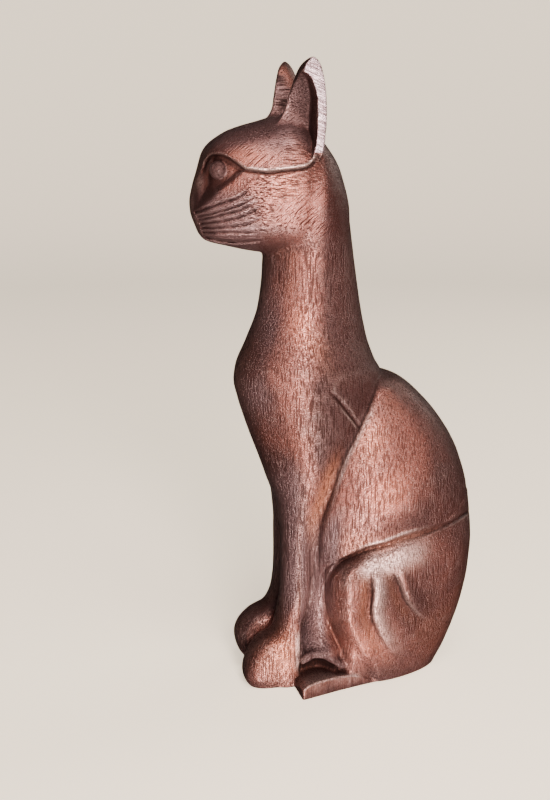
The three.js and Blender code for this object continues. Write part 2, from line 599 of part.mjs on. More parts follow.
// Thins the skin by closing the edges that change the form least; the sawn base stays flat.
function thinned(positions, indices, goal) {
  const points = [];
  for (let i = 0; i < positions.length; i += 3) {
    points.push(new THREE.Vector3(positions[i], positions[i + 1], positions[i + 2]));
  }
  const onFloor = points.map((point) => Math.abs(point.z) < 1e-4);
  const corners = [];
  const facesAt = points.map(() => new Set());
  for (let i = 0; i < indices.length; i += 3) {
    const face = [indices[i], indices[i + 1], indices[i + 2]];
    face.forEach((point) => facesAt[point].add(corners.length));
    corners.push(face);
  }
  const normalOf = (a, b, c) => b.clone().sub(a).cross(c.clone().sub(a));
  // Each point keeps the squared distances to the planes of its faces as a sum of ten terms.
  const terms = points.map(() => new Float64Array(10));
  corners.forEach((face) => {
    const normal = normalOf(...face.map((point) => points[point]));
    const weight = normal.length() / 2;
    if (weight === 0) return;
    normal.normalize();
    const plane = [normal.x, normal.y, normal.z, -normal.dot(points[face[0]])];
    face.forEach((point) => {
      let term = 0;
      for (let a = 0; a < 4; a += 1) {
        for (let b = a; b < 4; b += 1) {
          terms[point][term] += weight * plane[a] * plane[b];
          term += 1;
        }
      }
    });
  });
  const misfit = (sum, { x, y, z }) => (
    sum[0] * x * x + sum[4] * y * y + sum[7] * z * z + sum[9]
    + 2 * (sum[1] * x * y + sum[2] * x * z + sum[3] * x + sum[5] * y * z + sum[6] * y + sum[8] * z)
  );
  const solver = new THREE.Matrix3();
  function closing(a, b) {
    const sum = terms[a].map((value, i) => value + terms[b][i]);
    const middle = points[a].clone().add(points[b]).multiplyScalar(0.5);
    const length = points[a].distanceTo(points[b]);
    let place = middle;
    solver.set(sum[0], sum[1], sum[2], sum[1], sum[4], sum[5], sum[2], sum[5], sum[7]);
    if (Math.abs(solver.determinant()) > 1e-3) {
      const best = new THREE.Vector3(-sum[3], -sum[6], -sum[8]).applyMatrix3(solver.invert());
      if (best.distanceTo(middle) < length) place = best;
    }
    if (onFloor[a] !== onFloor[b]) place = points[onFloor[a] ? a : b].clone();
    if (onFloor[a] && onFloor[b]) place.z = 0;
    return { a, b, place, cost: misfit(sum, place) + 1e-3 * length ** 3 };
  }
  const version = points.map(() => 0);
  const heap = [];
  function push(item) {
    let at = heap.length;
    heap.push(item);
    while (at > 0) {
      const parent = (at - 1) >> 1;
      if (heap[parent].cost <= heap[at].cost) break;
      [heap[parent], heap[at]] = [heap[at], heap[parent]];
      at = parent;
    }
  }
  function pop() {
    const top = heap[0];
    const last = heap.pop();
    if (heap.length === 0) return top;
    heap[0] = last;
    let at = 0;
    for (;;) {
      const left = 2 * at + 1;
      let least = at;
      if (left < heap.length && heap[left].cost < heap[least].cost) least = left;
      if (left + 1 < heap.length && heap[left + 1].cost < heap[least].cost) least = left + 1;
      if (least === at) return top;
      [heap[least], heap[at]] = [heap[at], heap[least]];
      at = least;
    }
  }
  function offer(a, b) {
    const item = closing(a, b);
    item.stamp = version[a] + version[b];
    push(item);
  }
  const neighbours = (point) => {
    const near = new Set();
    facesAt[point].forEach((face) => corners[face].forEach((other) => near.add(other)));
    near.delete(point);
    return near;
  };
  points.forEach((point, a) => neighbours(a).forEach((b) => {
    if (a < b) offer(a, b);
  }));
  function allowed(a, b, place) {
    const nearB = neighbours(b);
    const shared = [...neighbours(a)].filter((point) => nearB.has(point));
    if (shared.length !== 2) return false;
    return [...facesAt[a], ...facesAt[b]].every((index) => {
      const face = corners[index];
      if (face.includes(a) && face.includes(b)) return true;
      const before = normalOf(...face.map((point) => points[point]));
      const moved = face.map((point) => (point === a || point === b ? place : points[point]));
      const after = normalOf(...moved);
      const longest = Math.max(
        moved[0].distanceTo(moved[1]),
        moved[1].distanceTo(moved[2]),
        moved[2].distanceTo(moved[0]),
      );
      const straight = after.dot(before) > 0.3 * after.length() * before.length();
      return (straight || before.length() < 1e-9) && after.length() > 0.06 * longest * longest;
    });
  }
  let count = corners.length;
  while (count > goal && heap.length > 0) {
    const { a, b, place, stamp } = pop();
    const current = facesAt[a].size > 0 && facesAt[b].size > 0 && stamp === version[a] + version[b];
    if (current && allowed(a, b, place)) {
      [...facesAt[b]].forEach((index) => {
        const face = corners[index];
        if (face.includes(a)) {
          face.forEach((point) => facesAt[point].delete(index));
          count -= 1;
          corners[index] = null;
        } else {
          face[face.indexOf(b)] = a;
          facesAt[a].add(index);
        }
      });
      facesAt[b].clear();
      points[a].copy(place);
      onFloor[a] = onFloor[a] || onFloor[b];
      terms[a] = terms[a].map((value, i) => value + terms[b][i]);
      version[a] += 1;
      neighbours(a).forEach((other) => offer(Math.min(a, other), Math.max(a, other)));
    }
  }
  const faces = corners.filter((face) => face !== null).flat();
  const order = [...new Set(faces)];
  const placeOf = new Map(order.map((point, i) => [point, i]));
  return { points: order.map((point) => points[point]), faces: faces.map((point) => placeOf.get(point)) };
}

const lean = thinned(sawn.vertProperties, sawn.triVerts, triangleGoal);
const places = lean.points.flatMap((point) => point.toArray());
const catGeometry = new THREE.BufferGeometry();
catGeometry.setAttribute('position', new THREE.Float32BufferAttribute(places, 3));
catGeometry.setIndex(lean.faces);
catGeometry.computeBoundingBox();
const box = catGeometry.boundingBox;
catGeometry.translate(-(box.min.x + box.max.x) / 2, -(box.min.y + box.max.y) / 2, 0);
catGeometry.computeVertexNormals();

const rubbedWood = new THREE.MeshStandardMaterial({ color: 0x8a5544, roughness: 0.42, metalness: 0.45 });
const cat = new THREE.Mesh(catGeometry, rubbedWood);
cat.name = 'cat_figure';

const figure = new THREE.Group();
figure.name = 'bastet_cat_figure';
figure.add(cat);

export default figure;
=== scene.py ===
# A seated cat carved from one block of hardwood and rubbed to a copper-brown sheen.
# The cat faces -Y and its left side is +X. Its form is worked out in shares of its height.
import math
import bpy
import bmesh
import numpy as np
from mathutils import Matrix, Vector, noise


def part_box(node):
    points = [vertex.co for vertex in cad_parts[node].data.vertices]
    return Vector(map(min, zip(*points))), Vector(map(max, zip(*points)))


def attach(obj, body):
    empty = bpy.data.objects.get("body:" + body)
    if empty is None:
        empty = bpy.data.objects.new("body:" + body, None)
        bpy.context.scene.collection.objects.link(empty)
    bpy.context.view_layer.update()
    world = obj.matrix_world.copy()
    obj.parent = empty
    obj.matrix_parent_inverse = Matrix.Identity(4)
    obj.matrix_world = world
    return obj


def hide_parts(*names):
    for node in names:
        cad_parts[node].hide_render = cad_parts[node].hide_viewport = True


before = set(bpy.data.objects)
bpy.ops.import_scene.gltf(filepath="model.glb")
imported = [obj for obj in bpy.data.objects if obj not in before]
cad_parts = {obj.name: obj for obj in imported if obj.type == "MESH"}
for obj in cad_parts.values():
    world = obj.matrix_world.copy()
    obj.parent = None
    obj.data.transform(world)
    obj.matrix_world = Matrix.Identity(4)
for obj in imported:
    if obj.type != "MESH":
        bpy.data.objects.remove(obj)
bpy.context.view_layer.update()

catLow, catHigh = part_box("cat_figure")
earTip = 0.9984  # the ear tip's height as a share of the figure's nominal height
tall = (catHigh[2] - catLow[2]) / earTip
scene = bpy.context.scene


# Camera: the photograph's own viewpoint, from the cat's left side and a little in front.
shot = {
    "azimuth": 76.0,
    "elevation": 12.7,
    "aim": (0.0, -0.1013, 0.467),  # shares of the height
    "away": 2.0744,
    "lens": 57.87,
    "sensor": 36.0,
}


def fromAbout(azimuth, elevation):  # the direction from the middle out to a place around it
    a, e = math.radians(azimuth), math.radians(elevation)
    return Vector((math.sin(a) * math.cos(e), -math.cos(a) * math.cos(e), math.sin(e)))


def lookFrom(thing, place, target):
    thing.location = place
    thing.rotation_euler = (target - place).to_track_quat("-Z", "Y").to_euler()


def makeCamera():
    lens = bpy.data.cameras.new("camera")
    lens.sensor_fit = "AUTO"
    lens.sensor_width = shot["sensor"]
    lens.lens = shot["lens"]
    lens.clip_start = 0.01
    lens.clip_end = 50
    camera = bpy.data.objects.new("camera", lens)
    scene.collection.objects.link(camera)
    aim = Vector(shot["aim"]) * tall
    lookFrom(camera, aim + fromAbout(shot["azimuth"], shot["elevation"]) * shot["away"] * tall, aim)
    scene.camera = camera


# Studio: a pale floor that sweeps up into a wall all round, and soft boxes.
studio = {
    "floorRadius": 1.5,
    "sweepRadius": 0.7,
    "wallHeight": 2.6,
    "floorColour": (0.95, 0.80, 0.62),
    "floorGlow": 1.15,
    "skyColour": (0.80, 0.76, 0.72),
    "skyStrength": 0.05,
}
softBoxes = [
    # name, azimuth, elevation, distance, width, height, watts, colour
    ("key", 86, 18, 1.05, 0.24, 0.6, 21, (1.0, 0.92, 0.88)),
    ("bounce", 86, -34, 1.0, 0.45, 1.1, 46, (1.0, 0.90, 0.84)),  # light thrown back up by the floor
    ("front", 14, 14, 1.2, 0.25, 0.8, 0.6, (0.62, 0.74, 1.0)),
    ("ahead", -48, 2, 1.3, 0.6, 1.2, 1.5, (1.0, 0.60, 0.46)),
    ("top", 92, 62, 1.2, 0.5, 0.5, 10, (1.0, 0.95, 0.92)),
    ("back", 200, 30, 1.3, 0.6, 0.9, 7, (1.0, 0.98, 0.88)),
]


def makeStudio():
    profile = [(0.0, 0.0), (studio["floorRadius"], 0.0)]
    for i in range(1, 13):
        a = math.radians(90 * i / 12)
        bend = studio["sweepRadius"]
        profile.append((studio["floorRadius"] + bend * math.sin(a), bend * (1 - math.cos(a))))
    profile.append((profile[-1][0], studio["wallHeight"]))
    around = 96
    points = [(0.0, 0.0, 0.0)]
    for radius, height in profile[1:]:
        for i in range(around):
            a = 2 * math.pi * i / around
            points.append((radius * math.cos(a), radius * math.sin(a), height))
    faces = [(0, 1 + i, 1 + (i + 1) % around) for i in range(around)]
    for ring in range(len(profile) - 2):
        low, high = 1 + ring * around, 1 + (ring + 1) * around
        for i in range(around):
            j = (i + 1) % around
            faces.append((low + i, high + i, high + j, low + j))
    mesh = bpy.data.meshes.new("floor")
    mesh.from_pydata(points, [], faces)
    mesh.polygons.foreach_set("use_smooth", [True] * len(mesh.polygons))
    floor = bpy.data.objects.new("floor", mesh)
    scene.collection.objects.link(floor)
    paper = bpy.data.materials.new("pale_paper")
    paper.use_nodes = True
    sheet = paper.node_tree.nodes["Principled BSDF"]
    sheet.inputs["Base Color"].default_value = (*studio["floorColour"], 1)
    sheet.inputs["Roughness"].default_value = 0.85
    sheet.inputs["Specular IOR Level"].default_value = 0.1
    sheet.inputs["Emission Color"].default_value = (*studio["floorColour"], 1)
    sheet.inputs["Emission Strength"].default_value = studio["floorGlow"]
    mesh.materials.append(paper)
    floor.visible_diffuse = False  # the paper lights nothing: the sheen comes from the soft boxes alone
    floor.visible_glossy = False
    floor.visible_shadow = False  # so that the low soft box can stand in for the light it throws back

    world = bpy.data.worlds.new("studio")
    world.use_nodes = True
    sky = world.node_tree.nodes["Background"]
    sky.inputs["Color"].default_value = (*studio["skyColour"], 1)
    sky.inputs["Strength"].default_value = studio["skyStrength"]
    scene.world = world

    middle = Vector((0, 0, tall * 0.5))
    for name, azimuth, elevation, distance, width, height, watts, colour in softBoxes:
        light = bpy.data.lights.new(name, "AREA")
        light.shape = "RECTANGLE"
        light.size = width
        light.size_y = height
        light.energy = watts
        light.color = colour
        box = bpy.data.objects.new(name, light)
        scene.collection.objects.link(box)
        lookFrom(box, middle + fromAbout(azimuth, elevation) * distance, middle)


# Side outlines of the forms and the carved lines, as points (y, z) in shares of the height.
# They were picked on the photograph, laid onto planes along the body, and partly adjusted.
outlines = {
    "head": [
        (-.1296, .9128), (-.1548, .9064), (-.1784, .8999), (-.2019, .8911), (-.2223, .8775),
        (-.2345, .8618), (-.2435, .8379), (-.2515, .8158), (-.258, .79), (-.2568, .7689),
        (-.2508, .7504), (-.243, .7349), (-.2318, .7254), (-.2034, .7185), (-.1747, .7115),
        (-.1442, .7061), (-.105, .7), (-.075, .701), (-.052, .717), (-.034, .745), (-.026, .775),
        (-.029, .8), (-.037, .8315), (-.0475, .8624), (-.057, .885), (-.08, .905), (-.105, .914),
    ],
    "ear": [
        (-.13, .87), (-.125, .9), (-.1217, .915), (-.118, .93), (-.1145, .946), (-.106, .9765),
        (-.1, .99), (-.0885, 1.0005), (-.076, .989), (-.069, .959), (-.067, .923), (-.069, .887),
        (-.0745, .853), (-.09, .85), (-.11, .857),
    ],
    "thigh": [
        (.3, .35), (.22, .318), (.1652, .2886), (.14, .2746), (.0981, .2594), (.0563, .2489),
        (.0286, .2407), (.001, .2361), (-.0155, .2306), (-.0395, .2205), (-.053, .2075), (-.06, .191),
        (-.0615, .1713), (-.0607, .1517), (-.0575, .1261), (-.048, .0969), (-.036, .0729),
        (-.02, .045), (0, .02), (.02, -.02), (.1, -.05), (.3, -.05),
    ],
    "leftPaw": [
        (-.095, .125), (-.116, .12), (-.126, .106), (-.14, .091), (-.159, .081), (-.171, .067),
        (-.181, .05), (-.187, .028), (-.185, .01), (-.174, -.004), (-.15, -.02), (-.06, -.02),
        (-.05, .05), (-.06, .11),
    ],
    "rightPaw": [
        (-.095, .13), (-.116, .124), (-.128, .111), (-.156, .098), (-.175, .079), (-.183, .058),
        (-.18, .034), (-.168, .015), (-.15, -.006), (-.12, -.02), (-.06, -.02), (-.05, .05),
        (-.06, .11),
    ],
    "eye": [
        (-.1847, .8381), (-.1895, .8407), (-.196, .845), (-.2046, .8513), (-.2133, .8566),
        (-.2208, .8598), (-.2288, .8605), (-.2359, .8595), (-.2424, .8558), (-.2479, .8486),
        (-.2545, .8372), (-.2585, .822), (-.2605, .807), (-.2625, .792), (-.2645, .7765),
        (-.253, .7848), (-.2399, .7951), (-.2268, .8054), (-.2158, .8126), (-.2071, .8188),
        (-.1994, .8251), (-.1917, .8313),
    ],
    "nick": [
        (-.0712, .5064), (-.0559, .4986), (-.043, .4867), (-.03, .4696), (-.0207, .4538),
        (-.0167, .4440), (-.0231, .4426), (-.0323, .4545), (-.0454, .4704), (-.0583, .4887),
    ],
}
carvedLines = {
    "earRim": [
        (-.0925, .845), (-.0865, .8645), (-.0837, .876), (-.0825, .8927), (-.0817, .9094),
        (-.0814, .928), (-.0828, .9425), (-.086, .9569), (-.0916, .9702), (-.0997, .9773),
        (-.112, .985), (-.13, 1.0),
    ],
    "brow": [
        (-.2568, .8247), (-.2523, .8372), (-.2479, .8486), (-.2424, .8558), (-.2359, .8595),
        (-.2288, .8605), (-.2208, .8598), (-.2133, .8566), (-.2046, .8513), (-.196, .845),
        (-.1895, .8407), (-.1847, .8381), (-.1763, .8372), (-.1588, .8349), (-.15, .8344),
        (-.1323, .8363), (-.1101, .8382), (-.0989, .8398), (-.0922, .8414), (-.0866, .845),
        (-.0811, .8502), (-.0771, .8555), (-.0749, .8604),
    ],
    "shoulder": [
        (.0166, .5375), (.0149, .5309), (.0112, .5155), (.0074, .5026), (-.0003, .482),
        (-.0093, .4602), (-.0185, .4409), (-.0289, .4203), (-.0394, .4024), (-.0467, .3842),
        (-.0525, .3686), (-.0603, .345), (-.0708, .3161), (-.0781, .295), (-.0806, .2652),
        (-.0814, .2379), (-.0838, .2147), (-.0867, .1901), (-.089, .1625), (-.0905, .1235),
    ],
    "nickEdge": [
        (-.0699, .5054), (-.0578, .493), (-.0457, .4767), (-.0349, .463), (-.0239, .4478), (-.0198, .4423),
    ],
    "frontSlash": [
        (.002, .2096), (.0051, .1869), (.005, .1645), (.0034, .142), (.0062, .1247), (.013, .107),
        (.0217, .0889), (.0348, .0703), (.0508, .0527), (.0698, .0347),
    ],
    "rearSlash": [
        (.0399, .2068), (.047, .1887), (.0538, .1712), (.0613, .1535), (.073, .1367), (.0861, .1225),
        (.1006, .1139), (.118, .1073),
    ],
    "webLip": [(-.1, .054), (-.0875, .0615), (-.075, .0625), (-.0615, .058), (-.0475, .048), (-.034, .038)],
    "tail": [(.168, .052), (.12, .05), (.07, .042), (.02, .036), (-.02, .04), (-.045, .052)],
}
whiskers = [
    [(-.2622, .7752), (-.2487, .7805), (-.2313, .7865), (-.2138, .7915), (-.1985, .7965), (-.1738, .8121)],
    [(-.2593, .769), (-.2445, .7719), (-.227, .7763), (-.2095, .7806), (-.192, .7867), (-.1659, .8013)],
    [(-.2572, .7647), (-.238, .768), (-.2205, .7723), (-.203, .7758), (-.1876, .7815), (-.16, .7927)],
    [(-.2544, .7587), (-.2359, .7607), (-.2162, .7633), (-.1987, .7668), (-.181, .7728), (-.1544, .7856)],
    [(-.253, .7526), (-.236, .7522), (-.2163, .7531), (-.1988, .7544), (-.1811, .7574), (-.1534, .7691)],
    [(-.2513, .7459), (-.2317, .7451), (-.212, .7444), (-.1922, .7435), (-.1745, .7438), (-.1623, .7454)],
    [(-.2488, .739), (-.2362, .7351), (-.2209, .7318), (-.2033, .73), (-.1856, .7301), (-.1563, .7319)],
]

# Profiles and half widths, as stations (place, value): by height z, or by y for the foot and the head's plan.
profiles = {
    "chestFront": [
        (0, -.085), (.2, -.086), (.26, -.098), (.3166, -.126), (.377, -.15), (.4198, -.166),
        (.4703, -.1825), (.5033, -.1893), (.5275, -.186), (.5671, -.169), (.6145, -.151),
        (.662, -.144), (.7, -.1415), (.76, -.125), (.82, -.11),
    ],
    "chestBack": [
        (0, 0), (.2, 0), (.35, .01), (.45, .045), (.5112, .0495), (.5333, .0388), (.5669, .026),
        (.6246, .0133), (.6572, .008), (.7214, -.001), (.7704, -.01), (.8, -.0185), (.8315, -.03),
        (.8624, -.0428), (.9, -.07),
    ],
    "chestHalf": [
        (0, .05), (.2, .053), (.26, .068), (.32, .086), (.4, .0998), (.46, .104), (.52, .0957), (.58, .0801),
        (.64, .0697), (.7, .0676), (.78, .0707), (.86, .0603),
    ],
    "flankFront": [
        (0, -.04), (.1, -.05), (.15, -.065), (.2, -.081), (.3, -.115), (.34, -.107), (.4, -.106),
        (.456, -.1), (.5, -.06), (.53, -.03),
    ],
    "flankWidest": [
        (0, -.02), (.1, -.01), (.2, .02), (.3, .05), (.34, .045), (.4, .035), (.456, .03), (.5, .03),
        (.53, .02),
    ],
    "flankRear": [
        (0, .155), (.0396, .174), (.1111, .1985), (.1652, .2085), (.2374, .213), (.3097, .204),
        (.3637, .189), (.4031, .1705), (.4354, .149), (.4675, .1215), (.4926, .094), (.5035, .077),
        (.5112, .054), (.53, .03),
    ],
    "flankHalf": [
        (0, .085), (.03, .095), (.06, .104), (.1, .1135), (.2, .126), (.3, .122), (.34, .118), (.4, .108),
        (.456, .096), (.49, .078), (.51, .058), (.53, .04),
    ],
    "webHalf": [
        (0, .085), (.035, .092), (.055, .1), (.064, .1), (.075, .089), (.09, .077), (.11, .07),
        (.14, .066), (.18, .064), (.25, .07),
    ],
    "webDepth": [(0, .05), (.06, .048), (.09, .037), (.12, .032), (.2, .035), (.25, .04)],
    "legMiddle": [
        (0, -.118), (.1, -.1135), (.12, -.108), (.14, -.103), (.165, -.0995), (.21, -.0975),
        (.3, -.097), (.4, -.1),
    ],
    "legDepth": [
        (0, .02), (.1, .021), (.12, .022), (.14, .023), (.165, .0238), (.21, .0255), (.3, .027), (.4, .045),
    ],
    "legHalf": [(0, .032), (.1, .034), (.2, .036), (.3, .042), (.4, .046)],
    "pawHalf": [(0, .027), (.02, .034), (.05, .037), (.09, .034), (.13, .03)],
    "headTaper": [(.7, .74), (.72, .84), (.75, .91), (.79, .97), (.83, 1), (.87, .97), (.9, .9), (.92, .85)],
    "earFace": [(.83, .092), (.9, .0935), (.95, .0915), (1, .088)],
    "earFront": [
        (.83, -.14), (.9, -.125), (.915, -.1217), (.93, -.118), (.946, -.1145), (.9765, -.106),
        (.99, -.1), (1, -.09),
    ],
    "earInner": [
        (.83, .02), (.87, .028), (.9, .034), (.93, .0385), (.946, .043), (.9765, .055), (.99, .064),
        (1, .072),
    ],
}
plans = {
    "footSide": [(-.111, .1245), (-.0776, .1145), (-.0467, .1046), (.003, .0914), (.05, .08)],
    "footTop": [
        (-.12, .013), (-.108, .0165), (-.096, .0225), (-.066, .025), (-.035, .0235), (-.001, .0165),
        (.012, .008), (.03, 0),
    ],
    "headPlan": [
        (-.26, .03), (-.25, .042), (-.24, .051), (-.22, .064), (-.2, .074), (-.18, .082), (-.14, .09),
        (-.1, .092), (-.07, .087), (-.04, .0765), (0, .0615),
    ],
    "headRounding": [(-.26, .018), (-.22, .032), (-.17, .05), (-.1, .06)],
}

# The carving: sizes in shares of the height, unless a note says otherwise.
carving = {
    "spacing": 0.5,  # millimetres between the samples that the skin is made from
    "reach": (0.152, -0.275, 0.245, -0.012, 1.014),  # half width, front, back, low and high limits
    "mapReach": (-0.34, 0.32, -0.05, 1.05),  # front, back, low and high limits of the maps of the lines
    "laidFrom": (1.9636, -0.6128, 0.923),  # lines are laid on from here and keep their places on the swells
    "headPlane": 0.07,
    "thighPlane": 0.12,
    "headAbove": 0.6,  # lines over this height are laid by the head's plane
    "block": 4,  # samples along each side of the blocks that are searched for the surface
    "margin": 0.024,  # how far from the rough surface the samples are still worked out
    "slopes": (0.35, 4),  # the flattest and the steepest field that is put back to true distances
    "batches": 24,  # the samples are worked out in so many lots, which keeps the memory small
    "browLip": 0.0042,
    "browLipWidth": 0.016,
    "browGroove": 0.0042,
    "browGrooveWidth": 0.0024,
    "socketDepth": 0.0085,
    "socketPatch": (-0.202, 0.8345),  # the painted lit place in the painted shade of the socket, behind the eyeball
    "noseSpot": (-0.2565, 0.821),  # the painted highlight beside the nose
    "eyeBall": (0.0475, 0.0138),  # how far out its centre lies and its radius
    "eyePlace": (-0.2228, 0.8358),
    "eyeRings": ((0.0038, 0.0011), (0.0078, 0.0012)),  # radius and width of each ring cut into the eyeball
    "eyeRingDepth": 0.0013,
    "eyeDarkRings": ((0.0045, 0.0012), (0.0092, 0.0013)),  # radius and width of the darker band in each ring
    "whiskerDepth": 0.0044,
    "whiskerWidth": 0.0017,
    "thighGroove": 0.0065,
    "waistDepth": 0.013,
    "shoulderDepth": 0.011,
    "slashDepth": 0.0095,
    "nickDepth": 0.0045,
    "tailRise": 0.007,
    "tailEdge": (0.016, 0.008),
    "bodyFaces": 108000,
    "headFaces": 88000,
    "headFloor": 0.69,  # where the head's faces begin
    "uneven": ((0.00022, 55), (0.00008, 190)),  # metres, and how fine: the unevenness that the knife left
}
# The cuts on the thigh: share of the slash depth, width of the gentle side, where along its run a cut is
# deepest and starts to run out, then how bright and wide the painted highlight on its lit edge is and how
# warm the painted light on its gentle side is.
slashes = {
    "frontSlash": (1.0, 0.021, 0.22, 0.3, 0.55, 0.012, 0.6),
    "rearSlash": (0.9, 0.026, 0.22, 0.4, 0.45, 0.0025, 0.3),
}
# The forms: how square each section is, how softly each form joins the rest, where each is cut off above,
# and the places and sizes that the stations don't give.
forms = {
    "power": {"chest": 2.15, "flank": 2.05, "thighEdge": 2.2, "web": 2, "leg": 2.2, "paw": 2.7, "head": 2.1},
    "soft": {
        "chestTop": 0.04, "flankTop": 0.03, "flank": 0.004, "thigh": 0.003, "webTop": 0.03, "web": 0.01,
        "legTop": 0.08, "leg": 0.006, "legTopJoin": 0.016, "pawBack": 0.003, "paw": 0.006, "hollow": 0.003,
        "webLip": 0.006, "footSide": 0.004, "footTop": 0.003, "foot": 0.003, "nape": 0.01, "ear": 0.004,
    },
    "top": {"chest": 0.86, "flank": 0.522, "web": 0.24, "leg": 0.4},
    "webPlace": -0.062,
    "legPlace": 0.0405,
    "rightLegBack": 0.008,  # the right foreleg's ankle stands a little further back
    "pawPlace": 0.041,
    "pawBack": -0.1,
    "pawRounding": 0.03,
    "hollowCentre": (0.108, -0.075, 0.032),
    "hollowRadii": (0.05, 0.037, 0.028),
    "webLipPlace": 0.093,
    "webLipRadius": 0.005,
    "footMiddle": -0.0285,
    "footHalf": 0.0795,
    "earSlope": (0.06, 0.4),  # how far the front edge falls away, on the left ear and on the right
}


def stationCurve(stations):  # a smooth curve through the stations that never swings past them
    t = np.array([s[0] for s in stations], float)
    v = np.array([s[1] for s in stations], float)
    gap = np.diff(t)
    slope = np.diff(v) / gap
    tangent = np.zeros_like(v)
    tangent[0], tangent[-1] = slope[0], slope[-1]
    for i in range(1, len(v) - 1):
        if slope[i - 1] * slope[i] > 0:
            tangent[i] = 2 * slope[i - 1] * slope[i] / (slope[i - 1] + slope[i])

    def at(place):
        place = np.clip(place, t[0], t[-1])
        i = np.clip(np.searchsorted(t, place, side="right") - 1, 0, len(t) - 2)
        u = (place - t[i]) / gap[i]
        start = u * (1 - u) ** 2 * gap[i] * tangent[i]
        end = u * u * (u - 1) * gap[i] * tangent[i + 1]
        return v[i] + (v[i + 1] - v[i]) * u * u * (3 - 2 * u) + start + end

    return at


def smoothLine(points, closed=False, pieces=4):
    p = np.array(points, float)
    count = len(p)
    line = []
    for i in range(count if closed else count - 1):
        if closed:
            a, b, c, d = p[i - 1], p[i], p[(i + 1) % count], p[(i + 2) % count]
        else:
            a, b, c, d = p[max(i - 1, 0)], p[i], p[i + 1], p[min(i + 2, count - 1)]
        for step in range(pieces):
            u = step / pieces
            bend = (2 * a - 5 * b + 4 * c - d) * u * u + (3 * b - a - 3 * c + d) * u ** 3
            line.append(0.5 * (2 * b + (c - a) * u + bend))
    if not closed:
        line.append(p[-1])
    return np.array(line)


def nearLine(y, z, line, closed=False):  # distance, side (1 on the left of the run) and share of the run
    ends = np.roll(line, -1, 0) if closed else line[1:]
    starts = line if closed else line[:-1]
    lengths = np.hypot(*(ends - starts).T)
    run = np.concatenate([[0], np.cumsum(lengths)]) / lengths.sum()
    best = np.full(y.shape, 1e9, np.float32)
    side = np.ones(y.shape, np.float32)
    along = np.zeros(y.shape, np.float32)
    for i, (a, b) in enumerate(zip(starts, ends)):
        ey, ez = b - a
        u = np.clip(((y - a[0]) * ey + (z - a[1]) * ez) / (ey * ey + ez * ez), 0, 1)
        distance = np.hypot(y - a[0] - u * ey, z - a[1] - u * ez)
        near = distance < best
        best[near] = distance[near]
        turn = ey * (z - a[1]) - ez * (y - a[0])
        side[near] = np.where(turn[near] > 0, 1, -1)
        along[near] = run[i] + u[near] * (run[i + 1] - run[i])
    return best, side, along


def depthInside(y, z, outline):  # how deep a point lies inside a closed outline, below zero outside it
    within = np.zeros(y.shape, bool)
    for i in range(len(outline)):
        (y0, z0), (y1, z1) = outline[i - 1], outline[i]
        if z0 != z1:
            within ^= ((z0 > z) != (z1 > z)) & (y < (y1 - y0) * (z - z0) / (z1 - z0) + y0)
    distance = nearLine(y, z, outline, True)[0]
    return np.where(within, distance, -distance)


def join(a, b, blend):
    overlap = np.maximum(blend - np.abs(a - b), 0) / blend
    return np.minimum(a, b) - overlap * overlap * blend / 4


def cut(a, b, blend):
    return -join(-a, -b, blend)


def ramp(low, high, value):
    u = np.clip((value - low) / (high - low), 0, 1)
    return u * u * (3 - 2 * u)


def span(value, start, full, fade, gone):  # rises from start to full and falls from fade to gone
    return ramp(start, full, value) * (1 - ramp(fade, gone, value))


def bell(distance, width):
    return np.exp(-(distance / width) ** 2)


def rounded(power, *parts):
    return sum(np.abs(part) ** power for part in parts) ** (1 / power)


spacing = carving["spacing"] / 1000 / tall
halfWide, frontLimit, backLimit, lowLimit, highLimit = carving["reach"]
mapFront, mapBack, mapLow, mapHigh = carving["mapReach"]
xs = np.arange(-halfWide, halfWide + spacing, spacing, dtype=np.float32)
ys = np.arange(frontLimit, backLimit + spacing, spacing, dtype=np.float32)
zs = np.arange(lowLimit, highLimit + spacing, spacing, dtype=np.float32)
byHeight = {name: stationCurve(stations)(zs).astype(np.float32) for name, stations in profiles.items()}
byDepth = {name: stationCurve(stations)(ys).astype(np.float32) for name, stations in plans.items()}


def sideMaps():  # depths inside the side outlines, for every y and z of the grid
    y, z = np.meshgrid(ys, zs, indexing="ij")
    maps = {}
    for name in ("head", "ear", "thigh", "leftPaw", "rightPaw"):
        outline = smoothLine(outlines[name], True)
        low, high = outline.min(0) - 0.06, outline.max(0) + 0.06
        j = np.flatnonzero((ys > low[0]) & (ys < high[0]))
        k = np.flatnonzero((zs > low[1]) & (zs < high[1]))
        part = np.ix_(j, k)
        maps[name] = np.full(y.shape, -0.06, np.float32)
        maps[name][part] = depthInside(y[part], z[part], outline)
    maps["beforeRim"] = np.zeros(y.shape, np.float32)
    k = np.flatnonzero(zs > 0.8)
    part = np.ix_(np.arange(len(ys)), k)
    distance, side, _ = nearLine(y[part], z[part], smoothLine(carvedLines["earRim"]))
    maps["beforeRim"][part] = distance * side
    return maps


